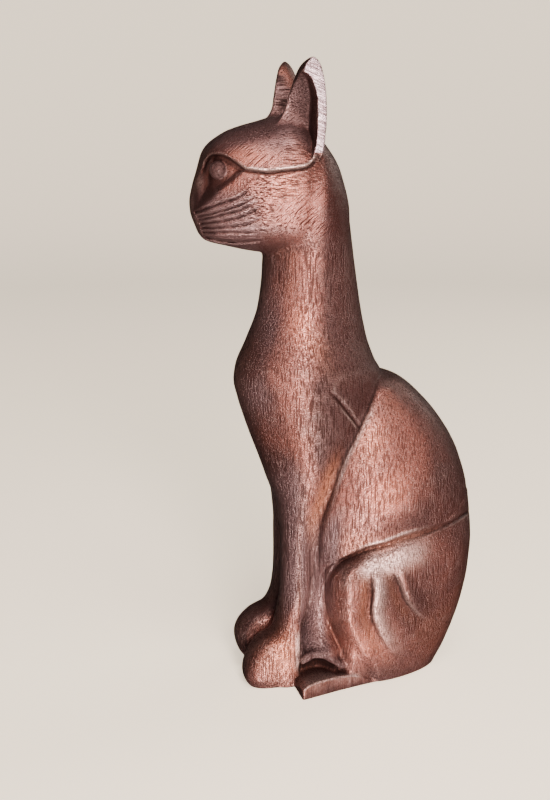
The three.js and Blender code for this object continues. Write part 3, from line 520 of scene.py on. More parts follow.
def trunk(across, y, z, at, thigh):  # chest and neck, flanks, thighs and the web in front of them
    power, soft, top = forms["power"], forms["soft"], forms["top"]
    depth = (at["chestBack"] - at["chestFront"]) / 2
    middle = (at["chestBack"] + at["chestFront"]) / 2
    ring = rounded(power["chest"], across / at["chestHalf"], (y - middle) / depth)
    wood = cut((ring - 1) * np.minimum(at["chestHalf"], depth), z - top["chest"], soft["chestTop"])

    widest, half = at["flankWidest"], at["flankHalf"]
    backward = (y - widest) / np.maximum(at["flankRear"] - widest, 0.004)
    forward = (widest - y) / np.maximum(widest - at["flankFront"], 0.01)
    ring = rounded(power["flank"], across / half, np.where(y > widest, backward, forward))
    flank = cut((ring - 1) * half * 0.6, z - top["flank"], soft["flankTop"])
    wood = join(wood, flank, soft["flank"])

    knee = ramp(0.24, 0.17, z)
    edge = np.maximum(1 - (thigh + 0.002 + 0.01 * (1 - knee)) / (0.022 + 0.010 * knee), 0)
    thighHalf = half + 0.006 * (1 - ramp(0.05, 0.17, y))
    edge = edge ** (power["thighEdge"] / power["flank"])
    ring = rounded(power["flank"], across / thighHalf, np.maximum(backward, 0), edge)
    wood = join(wood, (ring - 1) * 0.06, soft["thigh"])

    ring = rounded(power["web"], across / at["webHalf"], (y - forms["webPlace"]) / at["webDepth"])
    return join(wood, cut((ring - 1) * 0.05, z - top["web"], soft["webTop"]), soft["web"])


def legsAndFeet(wood, x, y, z, at, paw, footSide, footTop):
    power, soft, top = forms["power"], forms["soft"], forms["top"]
    across = np.abs(x)
    legMiddle = at["legMiddle"] + np.where(x < 0, forms["rightLegBack"] * ramp(0.08, 0.14, z), 0)
    outward, backward = (across - forms["legPlace"]) / at["legHalf"], (y - legMiddle) / at["legDepth"]
    ring = rounded(power["leg"], outward, backward)
    leg = cut((ring - 1) * at["legDepth"], z - top["leg"], soft["legTop"])
    wood = join(wood, leg, soft["leg"] + soft["legTopJoin"] * ramp(0.2, 0.34, z))

    toe = np.maximum(1 - paw / forms["pawRounding"], 0)
    pawForm = (rounded(power["paw"], (across - forms["pawPlace"]) / at["pawHalf"], toe) - 1) * 0.034
    wood = join(wood, cut(pawForm, y - forms["pawBack"], soft["pawBack"]), soft["paw"])

    aside = zip((across, y, z), forms["hollowCentre"], forms["hollowRadii"])
    hollow = (rounded(2, *[(value - centre) / radius for value, centre, radius in aside]) - 1) * 0.025
    wood = np.where(z < 0.12, cut(wood, -hollow, soft["hollow"]), wood)
    beside = (z < 0.085) & (across > 0.07)
    distance, _, run = nearLine(y[beside], z[beside], smoothLine(carvedLines["webLip"]))
    radius = forms["webLipRadius"] + 0.0016 * np.sin(run * 8) ** 2 + 0.0009 * np.sin(run * 19)
    away = np.hypot(distance, across[beside] - forms["webLipPlace"] + 0.004 * run)
    wood[beside] = join(wood[beside], away - radius, soft["webLip"])
    foot = cut(np.abs(y - forms["footMiddle"]) - forms["footHalf"], across - footSide, soft["footSide"])
    return join(wood, cut(foot, z - footTop, soft["footTop"]), soft["foot"])


def headAndEars(wood, x, y, z, at, plan, rounding, head, earOutline, beforeRim):
    soft = forms["soft"]
    across = np.abs(x)
    skull = np.maximum(1 - head / rounding, 0)
    headForm = (rounded(forms["power"]["head"], across / (plan * at["headTaper"]), skull) - 1) * 0.05
    nape = soft["nape"] + 0.03 * ramp(0.025, 0.05, across) * ramp(-0.11, -0.05, y)
    wood = join(wood, headForm, nape)

    floor = at["earInner"] + 0.005 + 0.017 * (1 - ramp(0, 0.036, beforeRim))
    dip = (at["earFace"] - floor) * ramp(-0.0002, 0.0026, beforeRim)
    outer = across - (at["earFace"] - dip)
    back = 0.004 + 0.016 * ramp(-0.1, -0.085, y)
    ear = cut(cut(-earOutline, at["earInner"] - across, back), outer, 0.0022)
    leftSlope, rightSlope = forms["earSlope"]
    slope = np.where(x < 0, rightSlope, leftSlope)
    ear = cut(ear, at["earFront"] + slope * (across - at["earInner"] - 0.006) - y, 0.003)
    blend = soft["ear"] + 0.014 * ramp(0.003, 0.02, beforeRim)
    return np.where(z > 0.82, join(wood, ear, blend), wood)


def bodyField(i, j, k, maps):  # below zero is wood, before the lines are carved
    x, y, z = xs[i], ys[j], zs[k]
    at = {name: table[k] for name, table in byHeight.items()}
    side = {name: table[j, k] for name, table in maps.items()}
    plan = {name: table[j] for name, table in byDepth.items()}
    wood = trunk(np.abs(x), y, z, at, side["thigh"])
    paw = np.where(x > 0, side["leftPaw"], side["rightPaw"])
    wood = legsAndFeet(wood, x, y, z, at, paw, plan["footSide"], plan["footTop"])
    return headAndEars(wood, x, y, z, at, plan["headPlan"], plan["headRounding"],
                       side["head"], side["ear"], side["beforeRim"])


def gouge(y, z, name, depth, gentle, start, finish):  # steep on one side, sloping in from the other
    distance, side, run = nearLine(y, z, smoothLine(carvedLines[name]))
    width = np.where(side > 0, 0.0034, gentle * (0.35 + 0.65 * np.minimum(run * 2, 1)))
    return -depth * ramp(0, start, run) * (1 - ramp(finish, 1, run)) * bell(distance, width)


def carvedRelief(y, z):
    rise = np.zeros(y.shape, np.float32)  # how far the carving stands out, below zero where it is cut in
    dark = np.zeros(y.shape, np.float32)  # wax and dirt left in the cuts, and painted shade in the grooves, the socket and under the lips
    wornAndLit = np.zeros(y.shape, np.float32)  # edges rubbed bright, and painted highlights on lit lips, edges and crests
    shade = np.zeros(y.shape, np.float32)  # broad painted shade over the shoulder, where it turns from the light
    amber = np.zeros(y.shape, np.float32)  # where the stain is thin and orange, and painted warm light on the gentle sides of the cuts
    mauve = np.zeros(y.shape, np.float32)  # where it is thick and greyish, and painted cool reflections on the chest front

    def browAndEye(part, py, pz):
        distance, side, run = nearLine(py, pz, smoothLine(carvedLines["brow"]))
        above = distance * side
        along = span(run, 0, 0.12, 0.97, 1)
        cheek = ramp(0.3, 0.55, run)
        edge = ramp(-0.0012, 0.0006, above)
        lift = carving["browLip"] * (0.45 + 0.55 * cheek) * bell(above, carving["browLipWidth"]) * edge
        groove = bell(above + 0.0022, carving["browGrooveWidth"])
        lift -= carving["browGroove"] * (0.6 + 0.4 * cheek) * groove * (1 - edge)
        lift -= 0.0025 * ramp(0.2, 0.7, run) * bell(above, 0.03) * (1 - edge)
        lift *= along
        depth = depthInside(py, pz, smoothLine(outlines["eye"], True))
        floorDip = ramp(-0.001, 0.009 + 0.012 * ramp(-0.232, -0.246, py), depth)
        lift -= carving["socketDepth"] * floorDip
        rise[part] += lift

        laidEye = onPlane(carving["eyeBall"][0], *carving["eyePlace"], carving["headPlane"])
        toBall = np.hypot(py - laidEye[0], pz - laidEye[1])
        patchY, patchZ = carving["socketPatch"]
        toPatch = np.hypot(py - patchY, pz - patchZ)
        # painted shade on the socket floor, lit at the socket patch and not on the eyeball
        gloom = 0.72 * floorDip * (1 - 0.9 * bell(toPatch, 0.011)) * ramp(0.010, 0.0135, toBall)
        noseY, noseZ = carving["noseSpot"]
        noseSpot = np.hypot(py - noseY, (pz - noseZ) * 0.5)
        # painted shade on the side of the nose turned from the light, lit at the nose spot
        noseSide = ramp(-0.226, -0.238, py) * ramp(-0.006, 0.001, depth)
        noseSide *= 0.97 - 0.85 * bell(noseSpot, 0.008)
        # painted shade under the brow lip
        underBrowShade = along * bell(above + 0.0026, 0.0032) * (1 - edge)
        dark[part] = np.maximum.reduce([underBrowShade, gloom, noseSide])
        ball = 1 - ramp(0.0125, 0.0145, toBall)
        circles = 0.6
        for radius, width in carving["eyeDarkRings"]:
            circles = circles + 0.35 * bell(toBall - radius, width)
        dark[part] = np.maximum(dark[part] * (1 - ball), ball * circles)
        # painted highlight along the brow lip, and at the nose spot
        litLip = along * (0.12 + 0.88 * cheek) * bell(above - 0.0009, 0.0010 + 0.0012 * cheek)
        wornAndLit[part] = np.maximum(litLip, 0.3 * bell(noseSpot, 0.006))
        chin = 0.6 * ramp(-0.150, -0.185, py) * (1 - ramp(0.79, 0.815, pz))
        mauve[part] = np.maximum(0.7 * ball, chin)

    def whiskerGrooves(part, py, pz):
        for line in whiskers:
            distance, _, run = nearLine(py, pz, smoothLine(line))
            fade = (1 - ramp(0.72, 1, run)) * (0.85 + 0.15 * np.sin(run * 31 + 400 * line[0][1]))
            width = carving["whiskerWidth"] - 0.0007 * run
            rise[part] -= carving["whiskerDepth"] * fade * bell(distance, width)
            rise[part] += 0.0006 * fade * bell(distance - 0.0038, 0.002)
            dark[part] = np.maximum(dark[part], fade * bell(distance, width))

    def thighLine(part, py, pz):
        outside = -depthInside(py, pz, smoothLine(outlines["thigh"], True))
        run = nearLine(py, pz, smoothLine(outlines["thigh"][1:18]))[2]
        width = 0.008 + 0.006 * ramp(0.05, 0.35, run)
        t = outside / width
        waist = (1 - ramp(0.5, 0.7, run)) * (1 - ramp(0.12, 0.2, py))
        rise[part] -= carving["waistDepth"] * waist * bell(outside - 0.006, 0.034)
        along = span(run, 0, 0.1, 0.66, 0.84) * (1 - ramp(0.18, 0.212, py))
        wall = 0.42 + 0.3 * ramp(0.25, 0.45, run)
        hollow = ramp(0.0, wall, t) * (1 - ramp(wall + 0.02, 1.04, t))
        rise[part] -= carving["thighGroove"] * (0.5 + 0.5 * ramp(0.25, 0.5, run)) * along * hollow
        lip = along * bell(t - 1.16, 0.16) * (1 - ramp(0.46, 0.56, run)) * ramp(0.11, 0.05, py)
        rise[part] += 0.0014 * lip
        # painted shade in the groove and along the thigh's front edge
        band = along * bell(t - 0.5, 0.42)
        edgeLine = span(run, 0.6, 0.72, 0.93, 1) * bell(outside - 0.0025, 0.0035)
        dark[part] = np.maximum(band * (0.5 + 0.5 * ramp(0.42, 0.54, run)), 0.8 * edgeLine)
        amber[part] = 0.6 * band * (1 - ramp(0.44, 0.56, run)) * (1 - ramp(0.05, 0.13, py))
        # painted highlights on the lip over the groove and on the top of the thigh
        crest = bell(outside + 0.022, 0.02) * span(py, -0.03, 0.01, 0.05, 0.12) * ramp(0.17, 0.21, pz)
        wornAndLit[part] = np.maximum(0.85 * lip, crest)

    def thighCuts(part, py, pz):
        for name, (share, gentle, start, finish, lit, litWidth, warm) in slashes.items():
            rise[part] += gouge(py, pz, name, carving["slashDepth"] * share, gentle, start, finish)
            distance, side, run = nearLine(py, pz, smoothLine(carvedLines[name]))
            beyond = distance * side  # above zero on the steep side
            fade = span(run, 0, 0.1, 0.45, 0.95)
            rise[part] += 0.003 * fade * bell(beyond - 0.013, 0.009)
            # painted shade along the steep wall, a painted highlight on the lit edge, and painted warm light
            # on the gentle side
            dark[part] = np.maximum(dark[part], fade * bell(beyond + 0.0005, 0.0024))
            edge = ramp(0.001, 0.003, beyond)
            wornAndLit[part] = np.maximum(wornAndLit[part], lit * fade * edge * bell(beyond - litWidth, litWidth))
            amber[part] = np.maximum(amber[part], warm * fade * bell(beyond + 0.012, 0.008))

    def bladeNick(part, py, pz):
        depth = depthInside(py, pz, smoothLine(outlines["nick"], True))
        rise[part] -= carving["nickDepth"] * ramp(-0.0005, 0.006, depth)
        distance, side, run = nearLine(py, pz, smoothLine(carvedLines["nickEdge"]))
        beyond = distance * side
        along = span(run, 0, 0.3, 0.93, 1)
        # painted shade along the nick's edge, with a painted highlight beside it
        dark[part] = np.maximum(dark[part], along * bell(beyond - 0.001, 0.0022))
        litEdge = 0.8 * along * ramp(0.3, 0.6, run) * bell(beyond + 0.0022, 0.001)
        wornAndLit[part] = np.maximum(wornAndLit[part], litEdge)

    def shoulderCut(part, py, pz):
        distance, side, run = nearLine(py, pz, smoothLine(carvedLines["shoulder"]))
        ahead = -distance * side  # above zero on the shoulder's side of the cut
        reach = np.where(ahead > 0, 0.022, 0.004)
        deep = 0.35 * ramp(0, 0.12, run) + 0.45 * ramp(0.25, 0.6, run) - 0.55 * ramp(0.68, 0.8, run)
        deep *= 1 - ramp(0.8, 0.95, run)
        rise[part] -= carving["shoulderDepth"] * deep * np.exp(-distance / reach)
        shadow = bell(np.maximum(ahead, 0), 0.006) * bell(np.minimum(ahead, 0), 0.0012)
        shadow *= span(run, 0, 0.1, 0.7, 0.85)
        # painted shade over the shoulder, where it turns from the light
        spread = 0.055 + 0.6 * np.maximum(pz - 0.38, 0)
        paintedShade = ramp(-0.001, 0.001, ahead) * (1 - ramp(0.45, 1.1, ahead / spread))
        shade[part] = paintedShade * (1 - ramp(0.36, 0.52, run)) * (1 - ramp(0.49, 0.575, pz))
        dark[part] = np.maximum.reduce([dark[part], shadow, 0.42 * shade[part]])
        streak = bell(ahead - 0.013, 0.011) * span(run, 0.3, 0.45, 0.88, 1)
        amber[part] = np.maximum(amber[part], streak)
        # painted highlight along the cut's edge
        litEdge = 0.5 * bell(ahead + 0.004, 0.003) * span(run, 0.1, 0.2, 0.4, 0.6)
        wornAndLit[part] = np.maximum(wornAndLit[part], litEdge)
        mauve[part] = bell(ahead + 0.022, 0.012) * span(run, 0.5, 0.62, 0.9, 1)

    for low, high, lines in (
        (0.7, 1.05, (browAndEye, whiskerGrooves)),
        (-0.05, 0.42, (thighLine, thighCuts)),
        (0.08, 0.58, (bladeNick, shoulderCut)),
    ):
        part = (z > low) & (z < high)
        for carve in lines:
            carve(part, y[part], z[part])
    return {"rise": rise, "dark": dark, "wornAndLit": wornAndLit, "shade": shade, "amber": amber, "mauve": mauve}


def nearSurface(maps):  # the samples worth working out: those in blocks that the surface may cross
    block, (flattest, steepest) = carving["block"], carving["slopes"]
    coarse = [np.arange(0, len(axis), block) for axis in (xs, ys, zs)]
    i, j, k = (a.ravel() for a in np.meshgrid(*coarse, indexing="ij"))
    rough = bodyField(i, j, k, maps).reshape([len(c) for c in coarse])
    slope = np.sqrt(sum(g * g for g in np.gradient(rough, block * spacing)))
    close = np.abs(rough / np.clip(slope, flattest, steepest)) < block * spacing * 1.2 + carving["margin"]
    sign = np.sign(rough) * 0.05
    full = [np.repeat(np.repeat(np.repeat(a, block, 0), block, 1), block, 2)[: len(xs), : len(ys), : len(zs)]
            for a in (sign, close)]
    return full[0].astype(np.float32), full[1]


def onPlane(x, y, z, plane):  # where the line from the laying point through a place meets a plane
    fromX, fromY, fromZ = carving["laidFrom"]
    part = (np.abs(x) - plane) / (fromX - plane)
    return (y - part * fromY) / (1 - part), (z - part * fromZ) / (1 - part)


def planeAt(z):  # the plane that the lines at a height are laid by
    return np.where(z > carving["headAbove"], carving["headPlane"], carving["thighPlane"])


def lookUp(table, x, y, z):  # reads a side map at the places laid onto the surface
    laidY, laidZ = onPlane(x, y, z, planeAt(z))
    row = (laidY - mapFront) / spacing
    column = (laidZ - mapLow) / spacing
    r = np.clip(row.astype(int), 0, table.shape[0] - 2)
    c = np.clip(column.astype(int), 0, table.shape[1] - 2)
    u, v = np.clip(row - r, 0, 1), np.clip(column - c, 0, 1)
    low = table[r, c] * (1 - u) + table[r + 1, c] * u
    high = table[r, c + 1] * (1 - u) + table[r + 1, c + 1] * u
    return low * (1 - v) + high * v


def carvedField(maps, relief):
    field, close = nearSurface(maps)
    batches = np.array_split(np.flatnonzero(close.ravel()), carving["batches"])
    for index in batches:
        field.ravel()[index] = bodyField(*np.unravel_index(index, field.shape), maps)
    carved = field.copy()
    for index in batches:
        carved.ravel()[index] = carvedBatch(field, index, relief)
    return carved


def carvedBatch(field, index, relief):
    i, j, k = np.unravel_index(index, field.shape)
    near = [np.clip(a, 1, n - 2) for a, n in zip((i, j, k), field.shape)]
    slopes = []
    for axis in range(3):
        ahead = [a + (axis == n) for n, a in enumerate(near)]
        behind = [a - (axis == n) for n, a in enumerate(near)]
        slopes.append((field[tuple(ahead)] - field[tuple(behind)]) / (2 * spacing))
    slope = np.sqrt(sum(s * s for s in slopes))
    x, y, z = xs[i], ys[j], zs[k]
    rise = lookUp(relief["rise"], x, y, z)
    sideways = np.abs(slopes[0]) / np.maximum(slope, 1e-6)
    rise *= np.where(z > carving["headAbove"], ramp(0.03, 0.24, sideways), ramp(0.08, 0.4, sideways))
    low = (z < 0.12) & (x < 0)  # the tail lies along the right side only
    distance = nearLine(y[low], z[low], smoothLine(carvedLines["tail"]))[0]
    rise[low] += carving["tailRise"] * ramp(*carving["tailEdge"], distance) * ramp(0.1, 0.4, sideways[low])
    value = field.ravel()[index] / np.clip(slope, *carving["slopes"]) - rise
    out, radius = carving["eyeBall"]
    eyeY, eyeZ = carving["eyePlace"]
    toEye = np.sqrt((np.abs(x) - out) ** 2 + (y - eyeY) ** 2 + (z - eyeZ) ** 2)
    laidY, laidZ = onPlane(x, y, z, out)
    fromMiddle = np.hypot(laidY - eyeY, laidZ - eyeZ)
    rings = sum(bell(fromMiddle - place, width) for place, width in carving["eyeRings"])
    return np.minimum(value, toEye - radius + carving["eyeRingDepth"] * rings)


def surfaceSkin(field):  # one point in each cell that the surface crosses, one quad for each edge it crosses
    inside = field < 0
    shape = [n - 1 for n in field.shape]
    count = np.zeros(shape, np.int8)
    for a in (0, 1):
        for b in (0, 1):
            for c in (0, 1):
                count += inside[a:shape[0] + a, b:shape[1] + b, c:shape[2] + c]
    cells = np.nonzero((count > 0) & (count < 8))
    owner = np.full(shape, -1, np.int32)
    owner[cells] = np.arange(len(cells[0]))
    total = np.zeros((len(cells[0]), 3))
    hits = np.zeros(len(cells[0]))
    for axis in range(3):
        others = [a for a in range(3) if a != axis]
        for a in (0, 1):
            for b in (0, 1):
                start = [c.copy() for c in cells]
                start[others[0]] += a
                start[others[1]] += b
                finish = [c.copy() for c in start]
                finish[axis] += 1
                f0, f1 = field[tuple(start)], field[tuple(finish)]
                crossed = (f0 < 0) != (f1 < 0)
                u = np.where(crossed, f0 / np.where(crossed, f0 - f1, 1), 0)
                point = np.stack(start, 1).astype(float)
                point[:, axis] += u
                total[crossed] += point[crossed]
                hits[crossed] += 1
    points = total / hits[:, None] * spacing + np.array([xs[0], ys[0], zs[0]])
    quads = []
    for axis in range(3):
        others = [a for a in range(3) if a != axis]
        first = tuple(slice(0, -1) if a == axis else slice(None) for a in range(3))
        second = tuple(slice(1, None) if a == axis else slice(None) for a in range(3))
        edges = list(np.nonzero(inside[first] != inside[second]))
        keep = (edges[others[0]] > 0) & (edges[others[1]] > 0)
        keep &= (edges[others[0]] < shape[others[0]]) & (edges[others[1]] < shape[others[1]])
        edges = [e[keep] for e in edges]

        def cell(a, b):
            place = [e.copy() for e in edges]
            place[others[0]] -= a
            place[others[1]] -= b
            return owner[tuple(place)]

        quad = np.stack([cell(1, 1), cell(0, 1), cell(0, 0), cell(1, 0)], 1)
        outward = inside[tuple(edges)] if axis != 1 else ~inside[tuple(edges)]
        quad[~outward] = quad[~outward][:, ::-1]
        quads.append(quad)
    return points, np.concatenate(quads)


def meshOf(points, faces):
    mesh = bpy.data.meshes.new("carved_cat")
    mesh.vertices.add(len(points))
    mesh.vertices.foreach_set("co", points.astype(np.float32).ravel())
    sides = faces.shape[1]
    mesh.loops.add(faces.size)
    mesh.loops.foreach_set("vertex_index", faces.astype(np.int32).ravel())
    mesh.polygons.add(len(faces))
    mesh.polygons.foreach_set("loop_start", np.arange(0, faces.size, sides, dtype=np.int32))
    mesh.update(calc_edges=True)
    return mesh


def sawnFlat(mesh):  # the underside is cut flat at the floor and closed
    work = bmesh.new()
    work.from_mesh(mesh)
    everything = work.verts[:] + work.edges[:] + work.faces[:]
    bmesh.ops.bisect_plane(work, geom=everything, plane_co=(0, 0, 0), plane_no=(0, 0, 1),
                           clear_inner=True, dist=1e-7)
    rim = [edge for edge in work.edges if edge.is_boundary]
    bmesh.ops.holes_fill(work, edges=rim, sides=0)
    bmesh.ops.triangulate(work, faces=work.faces[:])
    work.to_mesh(mesh)
    work.free()


def coordinates(mesh):
    flat = np.empty(len(mesh.vertices) * 3, np.float32)
    mesh.vertices.foreach_get("co", flat)
    return flat.reshape(-1, 3)


def vertexNormals(mesh):
    flat = np.empty(len(mesh.vertices) * 3, np.float32)
    mesh.vertex_normals.foreach_get("vector", flat)
    return flat.reshape(-1, 3)


def swelling(mesh, rounds):  # above zero on ridges, below zero in hollows, in metres
    edges = np.empty(len(mesh.edges) * 2, np.int32)
    mesh.edges.foreach_get("vertices", edges)
    a, b = edges.reshape(-1, 2).T
    here = coordinates(mesh).astype(float)
    smooth = here.copy()
    degree = np.bincount(np.concatenate([a, b]), minlength=len(here))[:, None]
    for _ in range(rounds):
        near = np.zeros_like(smooth)
        for axis in range(3):
            pull = np.bincount(a, smooth[b, axis], len(here))
            near[:, axis] = pull + np.bincount(b, smooth[a, axis], len(here))
        smooth = 0.5 * smooth + 0.5 * near / np.maximum(degree, 1)
    return ((here - smooth) * vertexNormals(mesh)).sum(1)


def addMask(mesh, name, values):
    mask = mesh.attributes.new(name, "FLOAT", "POINT")
    mask.data.foreach_set("value", np.clip(values, 0, 1).astype(np.float32))


def thinned(cat):  # the skin with fewer faces: more are kept on the head, where the lines are finer
    mesh = cat.data
    centres = np.empty(len(mesh.polygons) * 3, np.float32)
    mesh.polygons.foreach_get("center", centres)
    headCount = int((centres[2::3] > carving["headFloor"]).sum())
    counts = {"body": len(mesh.polygons) - headCount, "head": headCount}
    heights = coordinates(mesh)[:, 2]
    total = len(mesh.polygons)
    for name, region in (("body", heights < carving["headFloor"]), ("head", heights >= carving["headFloor"])):
        group = cat.vertex_groups.new(name=name)
        group.add(np.flatnonzero(region).tolist(), 1.0, "REPLACE")
        thinAndLit = cat.modifiers.new(name, "DECIMATE")
        thinAndLit.vertex_group = name
        spare = counts[name] - carving[name + "Faces"]
        thinAndLit.ratio = (total - spare) / total
        total -= spare
    view = bpy.context.evaluated_depsgraph_get()
    mesh = bpy.data.meshes.new_from_object(cat.evaluated_get(view))
    cat.modifiers.clear()
    cat.vertex_groups.clear()
    cat.data = mesh
    mesh.name = "carved_cat"
    return mesh


# The places that the tints, the painted shade and the painted light treat in their own way. "back", "up",
# "out", "side" and
# "facing" run along y, z, the distance from the middle, x and the normal's x: a pair of limits is where a
# place starts and where it is full (or the other way round, where it fades), and four are start, full, fade
# and gone.
tintAndLightPlaces = {
    "ears": {"up": (0.85, 0.88)},
    "valley": {"back": (-0.104, -0.096, -0.062, -0.045), "up": (0.035, 0.045, 0.22, 0.32),
               "out": (0.04, 0.055)},
    "ankle": {"back": (-0.150, -0.132, -0.112, -0.1), "up": (0.11, 0.17, 0.33, 0.4)},
    # painted shade on the back of the neck
    "nape": {"back": (-0.085, -0.04), "up": (0.5, 0.54, 0.83, 0.87)},
    # painted shade on the far paw
    "farPawShade": {"side": (0, -0.02), "facing": (-0.1, 0.3), "back": (-0.1, -0.11)},
    # painted shade in the hollow above the foot
    "caveShade": {"back": (-0.102, -0.098, -0.045, -0.03), "up": (0.022, 0.03, 0.052, 0.06),
             "out": (0.096, 0.091)},
    # painted shade on the foreleg
    "forelegShade": {"back": (-0.155, -0.14, -0.1, -0.085), "up": (0.12, 0.16, 0.34, 0.42)},
    # painted highlight along the paw's back edge
    "pawEdge": {"up": (0.025, 0.04, 0.085, 0.1), "out": (0.05, 0.06)},
    # painted light on the front of the knee
    "kneeFront": {"back": (-0.088, -0.080, -0.055, -0.038), "up": (0.06, 0.09, 0.2, 0.22),
                  "out": (0.05, 0.07)},
}
paintedLight = {
    "facing": (0.97, -0.17, 0.35, 0.1),  # painted light: how much the normal's x, y, upward and downward parts count towards the side facing the lamps
    "broad": (0.42, 0.2, 0.75),  # strength, and the facing where it starts and is full
    "crest": (0.58, 0.84, 1.0),
    "betweenHighlights": 0.5,  # what is left of the painted light between the painted highlights
    "lowThigh": (0.5, 0.005, 0.075, 0.065, 0.045),  # painted light low on the thigh: strength, how far back and up, how wide and tall
    # painted light on the front of the knee
    "kneeFront": 0.5,
    # painted cool reflections on the chest front: back, up, how much height counts, radius
    "chestReflections": ((-0.168, 0.487, 0.7, 0.02), (-0.148, 0.615, 0.4, 0.022)),
    "highlightSpots": [  # painted highlights, brightest at these places: how far back and up, and how wide and tall
        (-0.103, 0.499, 0.022, 0.045), (-0.099, 0.592, 0.024, 0.05), (-0.084, 0.40, 0.022, 0.05),
        (0.012, 0.407, 0.026, 0.06), (0.036, 0.335, 0.04, 0.045), (0.029, 0.235, 0.06, 0.03),
        (0.0, 0.13, 0.06, 0.07), (-0.125, 0.812, 0.04, 0.028),
        (-0.184, 0.872, 0.04, 0.026), (-0.1, 0.878, 0.03, 0.026), (-0.122, 0.06, 0.024, 0.035),
    ],
}


def spot(y, z, alongY, alongZ, overY, overZ):
    return np.exp(-((y - alongY) / overY) ** 2 - ((z - alongZ) / overZ) ** 2)


def tintAndLightMasks(at, normals, relief):  # the maps of the lines laid onto the skin, and the places added to them
    x, y, z = at.T
    across = np.abs(x)
    ways = {"back": y, "up": z, "out": across, "side": x, "facing": normals[:, 0]}

    def within(name):
        amount = 1.0
        for way, limits in tintAndLightPlaces[name].items():
            amount = amount * ramp(*limits[:2], ways[way])
            if len(limits) == 4:
                amount = amount * (1 - ramp(*limits[2:], ways[way]))
        return amount

    turned = np.abs(normals[:, 0])
    sideways = np.where(z > carving["headAbove"], ramp(0.03, 0.2, turned), ramp(0.1, 0.45, turned))
    masks = {name: lookUp(relief[name], x, y, z) * sideways for name in relief if name != "rise"}

    distance, side, _ = nearLine(y, z, smoothLine(carvedLines["earRim"]))
    ahead, ears = distance * side, within("ears")
    inEar = ramp(0, 0.002, ahead) * (1 - ramp(0.006, 0.034, ahead)) * ears
    rim = ramp(-0.001, 0.0005, -ahead) * (z > 0.862) * ramp(0.55, 0.85, normals[:, 0] * np.sign(x))
    # painted cool reflections on the chest front
    chestReflection = sum(bell(np.hypot(y - back, (z - up) * counts), radius)
                for back, up, counts, radius in paintedLight["chestReflections"])
    onLip = bell(nearLine(y, z, smoothLine(carvedLines["webLip"]))[0], 0.008)
    lip = onLip * ramp(0.065, 0.075, across) * (z < 0.085)
    # painted highlight along the lit top edge of the foot
    slabTop, slabSide = stationCurve(plans["footTop"])(y), stationCurve(plans["footSide"])(y)
    slab = 0.8 * bell(z - slabTop, 0.0025) * bell(across - slabSide, 0.004) * (1 - ramp(-0.015, 0.005, y))
    # painted highlight along the paw's back edge
    pawEdge = 0.8 * bell(y + 0.103, 0.005) * within("pawEdge")
    # painted shade in the ear's hollow
    earHollowShade = 0.8 * inEar * (1 - rim) * (across > 0.05)
    earFloor = 0.75 * ramp(0, 0.004, ahead) * ears
    added = {
        "mauve": [within("valley"), 0.8 * within("ankle"), 0.7 * chestReflection, earFloor, lip],
        "dark": [0.97 * within("caveShade"), earHollowShade, 0.65 * lip],
        "wornAndLit": [slab, pawEdge],
    }
    for name, places in added.items():
        masks[name] = np.maximum.reduce([masks[name], *places])

    # painted light: brighter where the surface faces the lamps, brightest at the painted highlights
    sidePart, frontPart, upPart, downPart = paintedLight["facing"]
    facing = sidePart * turned + frontPart * normals[:, 1]
    facing += upPart * np.maximum(normals[:, 2], 0) + downPart * np.minimum(normals[:, 2], 0)
    litAmount = sum(strength * ramp(start, full, facing)
                 for strength, start, full in (paintedLight["broad"], paintedLight["crest"]))
    highlights = np.maximum.reduce([spot(y, z, *place) for place in paintedLight["highlightSpots"]])
    litAmount *= paintedLight["betweenHighlights"] + (1 - paintedLight["betweenHighlights"]) * highlights
    strength, *place = paintedLight["lowThigh"]
    low = strength * ramp(0.05, 0.07, across) * spot(y, z, *place)
    litAmount = np.minimum(litAmount + np.maximum(paintedLight["kneeFront"] * within("kneeFront"), low), 1)
    # painted shade on the far paw
    farPawShade = 0.8 * within("farPawShade") * (z < 0.15)
    # painted shade over the shoulder, the back of the neck, the far paw and the foreleg takes off the painted
    # light
    paintedShade = [masks.pop("shade"), 0.8 * within("nape"), farPawShade, 0.6 * within("forelegShade")]
    masks["rubAndLight"] = litAmount * (1 - np.maximum.reduce(paintedShade))
    masks["rim"] = rim
    return masks, lip


def placeOnFrame(mesh, at, normals):  # to metres, over the solid, with the unevenness that the knife left
    x, y, z = at.T
    centre = [(catLow[axis] + catHigh[axis]) / 2 for axis in (0, 1)]
    placed = np.stack([
        (x - (x.min() + x.max()) / 2) * tall + centre[0],
        (y - (y.min() + y.max()) / 2) * tall + centre[1],
        z * tall + catLow[2],
    ], 1)
    uneven = np.array([sum(size * noise.noise(Vector(p) * scale) for size, scale in carving["uneven"])
                       for p in placed.tolist()])
    uneven *= ramp(0.002, 0.008, placed[:, 2])
    placed += normals * uneven[:, None]
    placed[:, 2] = np.maximum(placed[:, 2], catLow[2])
    mesh.vertices.foreach_set("co", placed.astype(np.float32).ravel())
    mesh.update()


